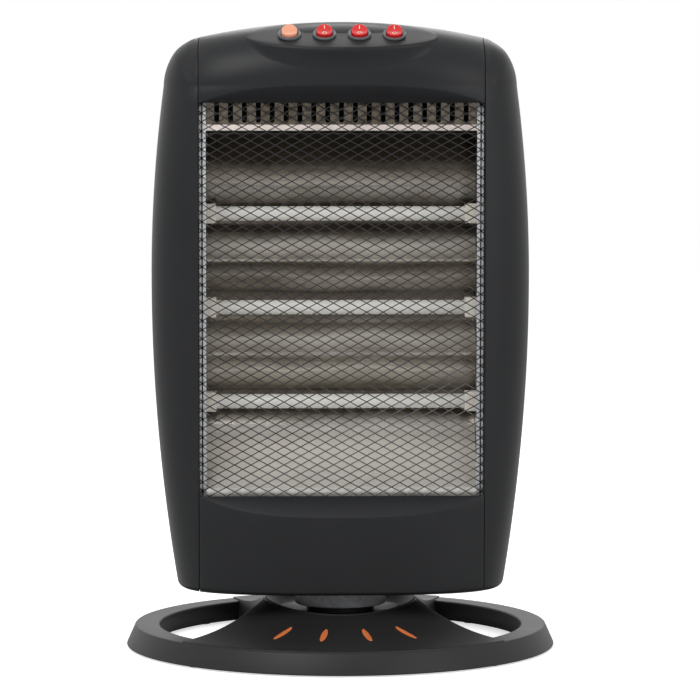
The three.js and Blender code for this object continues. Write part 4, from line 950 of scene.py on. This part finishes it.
def vent_tree():
    """A flat strip with a row of slots, as one open sheet."""
    tree, given = geometry_tree("vent_slots", ("Width", "Height", "Slot width", "Slot height", "Pitch", "Slot level"),
                                ("Count",), ("Centre",))
    sheet = node(tree, "GeometryNodeCurvePrimitiveQuadrilateral", {"Width": given["Width"],
                                                                   "Height": given["Height"]})
    soft = slot_outline(tree, given["Slot width"], given["Slot height"], given["Slot width"], 6)
    spaces = node(tree, "ShaderNodeMath", {0: given["Count"], 1: -1.0}, operation="ADD")
    span = node(tree, "ShaderNodeMath", {0: spaces, 1: given["Pitch"]}, operation="MULTIPLY")
    first = node(tree, "ShaderNodeMath", {0: span, 1: -0.5}, operation="MULTIPLY")
    start = node(tree, "ShaderNodeCombineXYZ", {"X": first, "Y": given["Slot level"]})
    step = node(tree, "ShaderNodeCombineXYZ", {"X": given["Pitch"]})
    line = node(tree, "GeometryNodeMeshLine", {"Count": given["Count"], "Start Location": start, "Offset": step},
                mode="OFFSET", count_mode="TOTAL")
    slots = node(tree, "GeometryNodeInstanceOnPoints", {"Points": line, "Instance": soft})
    real = node(tree, "GeometryNodeRealizeInstances", {"Geometry": slots})
    outlines = node(tree, "GeometryNodeJoinGeometry", {"Geometry": sheet})
    tree.links.new(real.outputs[0], outlines.inputs[0])
    filled = node(tree, "GeometryNodeFillCurve", {"Curve": outlines}, mode="TRIANGLES")
    upright = node(tree, "GeometryNodeTransform", {"Geometry": filled, "Rotation": (math.pi / 2, 0, 0),
                                                   "Translation": given["Centre"]})
    return end_tree(tree, upright, given["Finish"])


class HEATER_OT_vent_strip(bpy.types.Operator):
    """Slotted strip at the top of the window, with its folded bright lip"""
    bl_idname = "heater.vent_strip"
    bl_label = "Vent strip"

    def execute(self, context):
        sizes = context.scene.heater_metal
        low, high, front = 399.6, PLATE_TOP, -40.7
        middle = (low + high) / 2
        slot_low, slot_height = 402, 17
        # The strip is the reflector's metal; its darker brownish colour is painted shade
        finish_used = once("plated_steel_strip", sheet_metal, sizes.plated, 0.2, 8, 1.1, 0.5)
        piece = grow("vent", vent_tree(), {
            "Width": 2 * SHEET_HALF * MM, "Height": (high - low) * MM, "Centre": (0, front * MM, middle * MM),
            "Slot width": sizes.slot, "Slot height": slot_height * MM, "Pitch": sizes.pitch, "Count": sizes.slots,
            "Slot level": (slot_low + slot_height / 2 - middle) * MM, "Finish": finish_used})
        tidy(piece.data)
        if sum(p.normal.y for p in piece.data.polygons) > 0:
            piece.data.flip_normals()
        modify(piece, "SOLIDIFY", thickness=sizes.sheet, offset=-1.0)
        fold = ((0.0, 1.0, 0.0), (-0.1, 0.4, 0.3), (-1.5, -3.6, 0.5), (4.6, -4.4, 0.2), (4.6, -3.6, 0.2),
                (0.2, -2.9, 0.3), (0.9, 1.0, 0.0))  # y and z from the strip's lower edge, and the corner's radius
        section = rounded([(front + y, low + z) for y, z, _ in fold], [radius for *_, radius in fold], 3)
        lip = block("lip", section, -SHEET_HALF, SHEET_HALF)
        lip.data.materials.append(once("bright_zinc_lip", sheet_metal, linear("#efe4dd"), 0.45, 12, 0.3, 0.2))
        merge(piece, lip)
        complete(piece, "heater_body", "vent_strip")
        return {"FINISHED"}


class HEATER_OT_end_plates(bpy.types.Operator):
    """Left and right chassis plates with their bright flanges"""
    bl_idname = "heater.end_plates"
    bl_label = "End plates"

    def execute(self, context):
        sizes = context.scene.heater_metal
        finish_used = once("zinc_plated_steel", sheet_metal, sizes.plated, 0.24, 12, 0.25, 0.3)
        bright = once("bright_zinc_flange", sheet_metal, linear("#eef0f2"), 0.5, 12, 0.2, 0.12)
        thick = sizes.sheet / MM
        front, rear = -34, 30
        side_outline = rounded([(PLATE_FRONT, 114.3), (front, PLATE_FOOT), (rear, PLATE_FOOT), (rear, PLATE_TOP),
                                (PLATE_FRONT, PLATE_TOP)], [0, 2, 2, 2, 0], 4)
        flange_outline = rounded(rectangle(PLATE_FRONT, 114.3, PLATE_FRONT + thick, PLATE_TOP), 0.3, 2)
        foot_outline = rounded(rectangle(front, PLATE_FOOT, rear, PLATE_FOOT + thick), 0.2, 2)
        for side, sign in (("left", -1), ("right", 1)):
            outer = sign * (CHASSIS_X + thick)
            piece = block(f"end_plate_{side}", side_outline, sign * CHASSIS_X, outer)
            flange = block("flange", flange_outline, sign * (CHASSIS_X - 2.4), sign * (CHASSIS_X + 2.6))
            foot = block("foot", foot_outline, outer - sign * 14, outer)
            for part, coat in ((piece, finish_used), (flange, bright), (foot, finish_used)):
                part.data.materials.append(coat)
            merge(piece, flange, foot)
            complete(piece, "heater_body", f"chassis_plate_{side}")
        return {"FINISHED"}


# ---------------------------------------------------------------- tubes

def filament_tree():
    """One coil of wire along X, centred."""
    tree, given = geometry_tree("coiled_filament", ("Length", "Pitch", "Radius", "Wire"), vectors=("Centre",))
    turns = node(tree, "ShaderNodeMath", {0: given["Length"], 1: given["Pitch"]}, operation="DIVIDE")
    coil = node(tree, "GeometryNodeCurveSpiral", {
        "Resolution": 10, "Rotations": turns, "Start Radius": given["Radius"], "End Radius": given["Radius"],
        "Height": given["Length"]})
    section = node(tree, "GeometryNodeCurvePrimitiveCircle", {"Resolution": 4, "Radius": given["Wire"]})
    wire = node(tree, "GeometryNodeCurveToMesh", {"Curve": coil, "Profile Curve": section, "Fill Caps": True})
    back = node(tree, "ShaderNodeMath", {0: given["Length"], 1: -0.5}, operation="MULTIPLY")
    offset = node(tree, "ShaderNodeCombineXYZ", {"Z": back})
    centred = node(tree, "GeometryNodeTransform", {"Geometry": wire, "Translation": offset})
    laid = node(tree, "GeometryNodeTransform", {"Geometry": centred, "Rotation": (0, math.pi / 2, 0),
                                                "Translation": given["Centre"]})
    return end_tree(tree, laid, given["Finish"])


class HEATER_OT_tubes(bpy.types.Operator):
    """Three frosted quartz tubes with their coils and ceramic end blocks"""
    bl_idname = "heater.tubes"
    bl_label = "Quartz tubes"

    def execute(self, context):
        sizes = context.scene.heater_tubes
        radius = sizes.radius / MM
        quartz = once("frosted_quartz", frosted_quartz, sizes.quartz)
        ceramic = once("fired_steatite", fired_ceramic, sizes.ceramic)
        tungsten = once("drawn_tungsten", sheet_metal, linear("#8b8680"), 0.45, 2, 0.05, 0.2)
        coils = filament_tree()
        end = CHASSIS_X - 4.1
        wall = rounded(rectangle(radius - 1, -end, radius, end), 0.4, 2)
        for i, level in enumerate(TUBE_Z, 1):
            centre = 0, TUBE_Y * MM, level * MM
            along_x = Matrix.Translation(centre) @ Matrix.Rotation(math.pi / 2, 4, "Y")
            tube = lathe(f"tube_{i}", wall, 40)
            tube.data.transform(along_x)
            complete(tube, "heater_body", f"quartz_tube_{i}", quartz)
            coil = grow(f"coil_{i}", coils, {"Length": 0.2076, "Pitch": sizes.coil, "Radius": 0.0009, "Wire": 0.0002,
                                             "Centre": centre, "Finish": tungsten})
            complete(coil, "heater_body", f"filament_{i}", angle=80)
            outline = rounded(rectangle(TUBE_Y - BLOCK_HALF, level - BLOCK_HALF, TUBE_Y + BLOCK_HALF,
                                        level + BLOCK_HALF), 1.2, 4)
            for side, sign in (("left", -1), ("right", 1)):
                cap = block(f"end_block_{side}_{i}", outline, sign * (CHASSIS_X - 9.8), sign * SHEET_HALF)
                soften(cap, 0.0006, 40)
                bore = sorted((0, sign * (CHASSIS_X - 3.8)))
                cut(cap, drum("bore", radius + 0.3, *bore, along_x, 40))
                complete(cap, "heater_body", f"tube_cap_{side}_{i}", ceramic)
        return {"FINISHED"}


# ---------------------------------------------------------------- switches

def rocker_top(x, y, radius):
    """Height of the rocker's dished top over its pivot, with its rounded rim."""
    edge = np.minimum(radius - np.hypot(x, y), 5.9 - np.abs(x))
    rim = 0.75
    fall = rim - np.sqrt(np.maximum(0, rim ** 2 - np.maximum(0, rim - edge) ** 2))
    return 5.3 - 1.6 * (1 - np.sqrt(y * y + 0.5) / radius) - fall


def rocker(radius):
    """A rocker round its pivot, level, with two flat sides."""
    turn = whole_turn(56)
    reach = np.minimum(radius, 5.9 / np.maximum(1e-6, np.abs(np.cos(turn))))
    rings = [ring_at(s * reach, turn, z) for s, z in ((0.0, -3.4), (0.62, -3.4), (1.0, -0.6))]
    for s in (1.0, 0.985, 0.96, 0.925, 0.88, 0.8, 0.68, 0.54, 0.4, 0.26, 0.12, 0.0):
        x, y = s * reach * np.cos(turn), s * reach * np.sin(turn)
        rings.append(np.stack([x, y, rocker_top(x, y, radius)], -1))
    return skin("rocker", rings)


def raised_mark(shape, radius):
    """A printed I or O on the rocker's top, 0.12 mm proud."""
    closed = shape == "O"
    if closed:
        paths = [[(1.75 * s * math.cos(a), -3.0 + 1.5 * s * math.sin(a)) for a in whole_turn(32)]
                 for s in (0.72, 1.0)]
    else:
        paths = [[(x, y) for y in np.linspace(1.6, 4.6, 8)] for x in (0.3, -0.3)]
    count = len(paths[0])
    points = [(x, y, float(rocker_top(x, y, radius)) + rise)
              for path, rise in ((0, -0.2), (0, 0.12), (1, 0.12), (1, -0.2)) for x, y in paths[path]]
    faces = grid_faces(4, count, wrap=closed)
    last = count if closed else count - 1
    faces += [(3 * count + c, 3 * count + (c + 1) % count, (c + 1) % count, c) for c in range(last)]
    if not closed:
        faces += [(0, count, 2 * count, 3 * count), (4 * count - 1, 3 * count - 1, 2 * count - 1, count - 1)]
    return make("mark", points, faces)


class HEATER_OT_switches(bpy.types.Operator):
    """Four round rocker switches: bezels, and rockers that tip"""
    bl_idname = "heater.switches"
    bl_label = "Switches"

    def execute(self, context):
        sizes = context.scene.heater_switches
        bezel, radius = sizes.bezel / MM, sizes.rocker / MM
        nylon = once("moulded_nylon_bezel", moulded_plastic, sizes.bezels, 0.38, 0.9, 0.04)
        salmon = once("polycarbonate_salmon", glossy_plastic, sizes.first, 0.3)
        red = once("polycarbonate_red", glossy_plastic, sizes.others, 0.22)
        cream = once("pad_printed_cream", glossy_plastic, linear("#f4e3c4"), 0.4)
        turn = whole_turn(64)
        pocket = np.minimum(7.04, 6.2 / np.maximum(1e-6, np.abs(np.cos(turn))))
        profile = [(0.0, -13.0), (7.4, -13.0), (8.1, -12.3), (8.1, 0.02), (bezel - 0.1, 0.02), (bezel, 0.15),
                   (bezel, 0.9), (bezel - 0.15, 1.35), (bezel - 0.5, 1.68), (bezel - 0.95, 1.8), (bezel - 1.4, 1.72),
                   (pocket + 0.25, 1.62), (pocket + 0.06, 1.5), (pocket, 1.25), (pocket, -5.2), (0.0, -5.2)]
        for i in range(4):
            body = skin(f"switch_{i + 1}", [ring_at(reach, turn, z) for reach, z in profile])
            body.data.transform(switch_place(i))
            complete(body, "heater_body", f"switch_body_{i + 1}", nylon)
            key = rocker(radius)
            key.data.materials.append(red if i else salmon)
            key.name = f"rocker_{i + 1}_key"
            if i:
                for shape in "IO":
                    mark = raised_mark(shape, radius)
                    mark.data.materials.append(cream)
                    merge(key, mark)
            tipped = Matrix.Translation((0, 0, 0.4 * MM)) @ Matrix.Rotation(math.radians(14), 4, "X")
            key.data.transform(switch_place(i) @ tipped)
            complete(key, f"rocker_{i + 1}", f"switch_rocker_{i + 1}")
        return {"FINISHED"}


# ---------------------------------------------------------------- base

def rim_at(angle):
    """Height of the dish's rim at an angle."""
    return 33.25 + 2.75 * np.cos(2 * angle)


def hump_at(radius, angle):
    """Height of the hump at a radius and an angle about the swing axis."""
    share = np.clip((radius - DISH_RADIUS) / (RING_TOP - DISH_RADIUS), 0, 1)
    return HUMP_EDGE_Z + (rim_at(angle) - HUMP_EDGE_Z) * (1 - share) ** 1.9


def crease_at(y):
    """Side edge of the hump, from the axis outwards, at a place along it."""
    front = 60 + 46.8 * (np.abs(y) / 85.4) ** 1.3
    rear = 60 + 18.0 * (np.abs(y) / 112.0) ** 1.5
    return np.where(y < 0, front, rear)


def crease_corner(sign):
    """How far forward or back the hump's side edge reaches the ring's outer edge."""
    near, far = 60.0, 157.0
    for _ in range(50):
        middle = (near + far) / 2
        inside = math.hypot(float(crease_at(sign * middle)), middle) < RING_TOP
        near, far = (middle, far) if inside else (near, middle)
    return sign * near


def hump_edge():
    """The hump's edge in plan, once round, and where it lies on the ring rather than on a side edge."""
    front, rear = crease_corner(-1), crease_corner(1)
    side_y = np.concatenate([np.linspace(front, 0, 60), np.linspace(0, rear, 60)[1:]])
    right = np.stack([crease_at(side_y), side_y], -1)

    def arc(start, end, count):
        return ring_at(RING_TOP, np.linspace(start, end, count)[1:-1], 0)[:, :2]

    start = math.atan2(rear, float(crease_at(rear)))
    back = arc(start, math.pi - start, 70)
    start = math.atan2(front, -float(crease_at(front)))
    fore = arc(start, -math.pi - start, 110)
    parts = (right, back, right[::-1] * (-1, 1), fore)
    return np.concatenate(parts), np.repeat([False, True, False, True], [len(part) for part in parts])


def leaf(name, angle, spare, proud, sunk, domed=True):
    """A leaf-shaped solid lying along the hump's slope, wider by spare all round."""
    angle = math.radians(angle)
    rows, columns = 25, 9
    top, bottom = [], []
    for t in np.linspace(0, np.pi, rows):
        r = 89 - spare + (31 + 2 * spare) * (1 - math.cos(t)) / 2
        half = (2.3 + spare) * max(math.sin(t), 0.0) ** 0.9 + 0.02
        for q in np.linspace(-1, 1, columns):
            x, y = r * math.sin(angle) + q * half * math.cos(angle), -r * math.cos(angle) + q * half * math.sin(angle)
            level = float(hump_at(math.hypot(x, y), math.atan2(y, x)))
            dome = (1 - abs(q) ** 2.2) * min(1.0, 3 * math.sin(t)) if domed else 1.0
            top.append((x, y, level + proud * dome))
            bottom.append((x, y, level - sunk))
    count = rows * columns
    faces = grid_faces(rows, columns) + [tuple(reversed(f)) for f in grid_faces(rows, columns, start=count)]
    loop = list(range(columns)) + [r * columns + columns - 1 for r in range(1, rows)]
    loop += list(range(count - 2, count - columns - 1, -1)) + [r * columns for r in range(rows - 2, 0, -1)]
    faces += [(a, b, b + count, a + count) for a, b in zip(loop, loop[1:] + loop[:1])]
    return make(name, top + bottom, faces)


def base_finish():
    """The plastic of the base."""
    return once("moulded_abs_base", moulded_plastic, bpy.context.scene.heater_base.plastic, 0.45, 1.2, 0.08, 0.2)


class HEATER_OT_base_shell(bpy.types.Operator):
    """Ring with its hump, dish and hand openings"""
    bl_idname = "heater.base_shell"
    bl_label = "Base shell"

    def execute(self, context):
        sizes = context.scene.heater_base
        soft = sizes.soft / MM
        profile = rounded([(RING_BORE_FOOT, BASE_FLOOR), (RING_BORE, RING_HEIGHT), (RING_TOP, RING_HEIGHT),
                           (RING_FOOT, BASE_FLOOR), (RING_FOOT - 2.6, BASE_FLOOR),
                           (RING_TOP - 2.1, RING_HEIGHT - 2.5), (RING_BORE + 2.3, RING_HEIGHT - 2.5),
                           (RING_BORE_FOOT + 2.6, BASE_FLOOR)],
                          [0.4, soft, soft, 0.8, 0.3, 0.5, 0.5, 0.3], 5)
        ring = lathe("ring", profile, 192)
        edge, on_ring = hump_edge()
        angle = np.arctan2(edge[:, 1], edge[:, 0])
        far = np.hypot(edge[:, 0], edge[:, 1])
        rim, foot = rim_at(angle), np.where(on_ring, 15.2, BASE_FLOOR)
        brim, inner = rim + sizes.lip / MM, far - 2.2
        rows = [(HUMP_BORE, DISH_FLOOR_Z - 2), (HUMP_BORE, DISH_FLOOR_Z), (DISH_FLOOR_RADIUS - 1.0, DISH_FLOOR_Z),
                (DISH_FLOOR_RADIUS + 0.3, DISH_FLOOR_Z + 0.5), (55.6, rim - 1.2), (56.2, brim - 0.35), (56.7, brim),
                (57.6, brim), (58.1, brim - 0.25)]
        start = np.minimum(58.5, far - 1.2)
        outer = [start + (far - 0.7 - start) * t for t in np.linspace(0, 1, 26)]
        rows += [(radius, hump_at(radius, angle)) for radius in outer]
        rows += [(far - 0.2, hump_at(far, angle) - 0.12), (far, hump_at(far, angle) - 0.5), (far, foot),
                 (inner, foot), (inner, hump_at(inner, angle) - HUMP_WALL)]
        start = np.minimum(59.5, far - 2.6)
        under = [start + (inner - start) * t for t in np.linspace(1, 0, 14)]
        rows += [(radius, hump_at(radius, angle) - HUMP_WALL) for radius in under]
        rows += [(DISH_FLOOR_RADIUS + 4.5, DISH_FLOOR_Z - 2.0), (HUMP_BORE, DISH_FLOOR_Z - 2)]
        hump = skin("hump", [ring_at(radius, angle, z) for radius, z in rows])
        for inlay in INLAY_ANGLES:
            cut(hump, leaf("pocket", inlay, 0.25, 3.0, 1.4, domed=False))
        hump.name = "base"
        merge(hump, ring)
        complete(hump, "base", "base_shell", base_finish(), angle=32)
        return {"FINISHED"}


class HEATER_OT_inlays(bpy.types.Operator):
    """Four leaf-shaped inlays on the front slope of the base"""
    bl_idname = "heater.inlays"
    bl_label = "Inlays"

    def execute(self, context):
        orange = once("moulded_orange_inlay", glossy_plastic, context.scene.heater_base.inlays, 0.35)
        for i, angle in enumerate(INLAY_ANGLES, 1):
            complete(leaf(f"inlay_{i}", angle, 0, 0.55, 1.1), "base", f"base_inlay_{i}", orange)
        return {"FINISHED"}


class HEATER_OT_collar(bpy.types.Operator):
    """Textured grey turntable collar between the base and the body"""
    bl_idname = "heater.collar"
    bl_label = "Turntable collar"

    def execute(self, context):
        profile = rounded([(9, 20.6), (13.5, 20.6), (13.5, 32), (COLLAR_RADIUS, 32), (COLLAR_RADIUS, 48.8),
                           (44, 48.8), (44, 51.3), (32.5, 51.3), (32.5, 34.5), (9, 34.5)],
                          [0.4, 0.4, 0.6, 1.6, 0.4, 0.5, 0.5, 0.5, 0.8, 0.4], 5)
        finish_used = once("textured_grey_abs", moulded_plastic, linear("#9c9da0"), 0.6, 2.6, 0.5, 0.35)
        complete(lathe("collar", profile, 96), "heater_body", "turntable_collar", finish_used, angle=30)
        return {"FINISHED"}


class HEATER_OT_hidden_parts(bpy.types.Operator):
    """Finishes of the parts underneath and inside, whose CAD forms stay"""
    bl_idname = "heater.hidden_parts"
    bl_label = "Inner parts"

    def execute(self, context):
        rubber = once("moulded_rubber", cast_rubber, linear("#1b1b1c"))
        nylon = once("moulded_white_nylon", moulded_plastic, linear("#e6e3da"), 0.5, 1.0, 0.04, 0.05)
        black = once("moulded_black_nylon", moulded_plastic, linear("#1c1c1e"), 0.45, 1.0, 0.04)
        steel = once("zinc_plated_pressing", sheet_metal, linear("#b9b6ae"), 0.3, 10, 0.15, 0.25)
        groups = ((base_finish(), "base_underplate"), (black, "thrust_ring tip_switch"),
                  (rubber, "foot_pad_1 foot_pad_2 foot_pad_3 foot_pad_4 cord_gland"),
                  (nylon, "motor_crank tip_plunger terminal_block"),
                  (steel, "swivel_motor swivel_arm thermal_cutout"))
        for finish_used, names in groups:
            for name in names.split():
                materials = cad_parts[name].data.materials
                materials.clear()
                materials.append(finish_used)
        return {"FINISHED"}


# ---------------------------------------------------------------- stage

class HEATER_OT_stage(bpy.types.Operator):
    """Pale floor, soft studio light and the camera"""
    bl_idname = "heater.stage"
    bl_label = "Stage"

    def execute(self, context):
        scene = context.scene
        corners = [(x, y, 0) for x, y in rectangle(-6000, -6000, 6000, 6000)]
        floor = make("floor", corners, [(0, 1, 2, 3)], outward=False)
        pale = bpy.data.materials.new("pale_studio_floor")
        pale.use_nodes = True
        tree = pale.node_tree
        tree.nodes.clear()
        matt = node(tree, "ShaderNodeBsdfDiffuse", {"Color": (0.86, 0.86, 0.86, 1)})
        glow = node(tree, "ShaderNodeEmission", {"Color": (1, 1, 1, 1), "Strength": 0.64})
        lifted = node(tree, "ShaderNodeAddShader", {0: matt, 1: glow})
        seen = node(tree, "ShaderNodeLightPath").outputs["Is Camera Ray"]
        lit = node(tree, "ShaderNodeMixShader", {0: seen, 1: matt, 2: lifted})
        node(tree, "ShaderNodeOutputMaterial", {"Surface": lit})
        floor.data.materials.append(pale)
        scene.world = bpy.data.worlds.new("studio")
        scene.world.use_nodes = True
        tree = scene.world.node_tree
        tree.nodes.clear()
        # Mirrors and glass see a room that is dimmer in front; the camera sees a white one
        path = node(tree, "ShaderNodeLightPath").outputs
        mirrors = node(tree, "ShaderNodeMath", {0: path["Is Glossy Ray"], 1: path["Is Transmission Ray"]},
                       operation="MAXIMUM")
        aim = node(tree, "ShaderNodeSeparateXYZ", {0: node(tree, "ShaderNodeTexCoord").outputs["Generated"]})
        room = node(tree, "ShaderNodeMapRange", {"Value": aim.outputs["Y"], "From Min": -0.80, "From Max": -0.25,
                                                 "To Min": 0.56, "To Max": 1.0})
        mirrored = node(tree, "ShaderNodeMapRange", {"Value": mirrors, "To Min": 0.47, "To Max": room})
        strength = node(tree, "ShaderNodeMapRange", {"Value": path["Is Camera Ray"], "To Min": mirrored,
                                                     "To Max": 1.0})
        sky = node(tree, "ShaderNodeBackground", {"Color": (1, 1, 1, 1), "Strength": strength})
        node(tree, "ShaderNodeOutputWorld", {"Surface": sky})
        for name, spot, size, power in (("key", (-900, -1500, 1700), 1.3, 23), ("fill", (1400, -1500, 900), 1.2, 9),
                                        ("back", (200, 1500, 1500), 1.2, 12)):
            lamp = bpy.data.lights.new(name, "AREA")
            lamp.shape, lamp.size, lamp.energy = "SQUARE", size, power
            light = bpy.data.objects.new(name, lamp)
            light.location = Vector(spot) * MM
            light.rotation_euler = (Vector((0, 0, 230)) - Vector(spot)).to_track_quat("-Z", "Y").to_euler()
            scene.collection.objects.link(light)
        lens = bpy.data.cameras.new("camera")
        focal_pixels, picture_pixels, down = 3520, 700, 0.070
        lens.sensor_width, lens.lens = 36.0, focal_pixels / picture_pixels * 36.0
        lens.clip_start, lens.clip_end = 0.1, 50
        camera = bpy.data.objects.new("camera", lens)
        spot, target = Vector((-66, -2699, 416.7)), Vector((7.5, 0, 416.7))
        camera.location = spot * MM
        toward = (target - spot).normalized() * math.cos(down) + Vector((0, 0, -math.sin(down)))
        camera.rotation_euler = toward.to_track_quat("-Z", "Y").to_euler()
        scene.collection.objects.link(camera)
        scene.camera = camera
        scene.view_settings.view_transform = "Standard"
        return {"FINISHED"}


class HEATER_PT_panel(bpy.types.Panel):
    bl_idname = "HEATER_PT_panel"
    bl_label = "Halogen heater"
    bl_space_type = "VIEW_3D"
    bl_region_type = "UI"
    bl_category = "Heater"

    def draw(self, context):
        for operator in OPERATORS:
            self.layout.operator(operator.bl_idname)
        for name, group in SETTINGS.items():
            box = self.layout.box()
            box.label(text=name.removeprefix("heater_").title())
            for prop in group.__annotations__:
                box.prop(getattr(context.scene, name), prop)


OPERATORS = (HEATER_OT_base_shell, HEATER_OT_inlays, HEATER_OT_collar, HEATER_OT_centre_covers, HEATER_OT_side_covers,
             HEATER_OT_rear_cover, HEATER_OT_end_plates, HEATER_OT_reflector, HEATER_OT_vent_strip, HEATER_OT_guard,
             HEATER_OT_tubes, HEATER_OT_switches, HEATER_OT_hidden_parts, HEATER_OT_stage)


def register():
    for kind in (*SETTINGS.values(), *OPERATORS, HEATER_PT_panel):
        bpy.utils.register_class(kind)
    for name, group in SETTINGS.items():
        setattr(bpy.types.Scene, name, PointerProperty(type=group))


def unregister():
    for name in SETTINGS:
        delattr(bpy.types.Scene, name)
    for kind in reversed((*SETTINGS.values(), *OPERATORS, HEATER_PT_panel)):
        bpy.utils.unregister_class(kind)


def main():
    register()
    for operator in OPERATORS:
        getattr(bpy.ops.heater, operator.bl_idname.removeprefix("heater."))()
    bpy.context.view_layer.update()


if __name__ == "__main__":
    main()
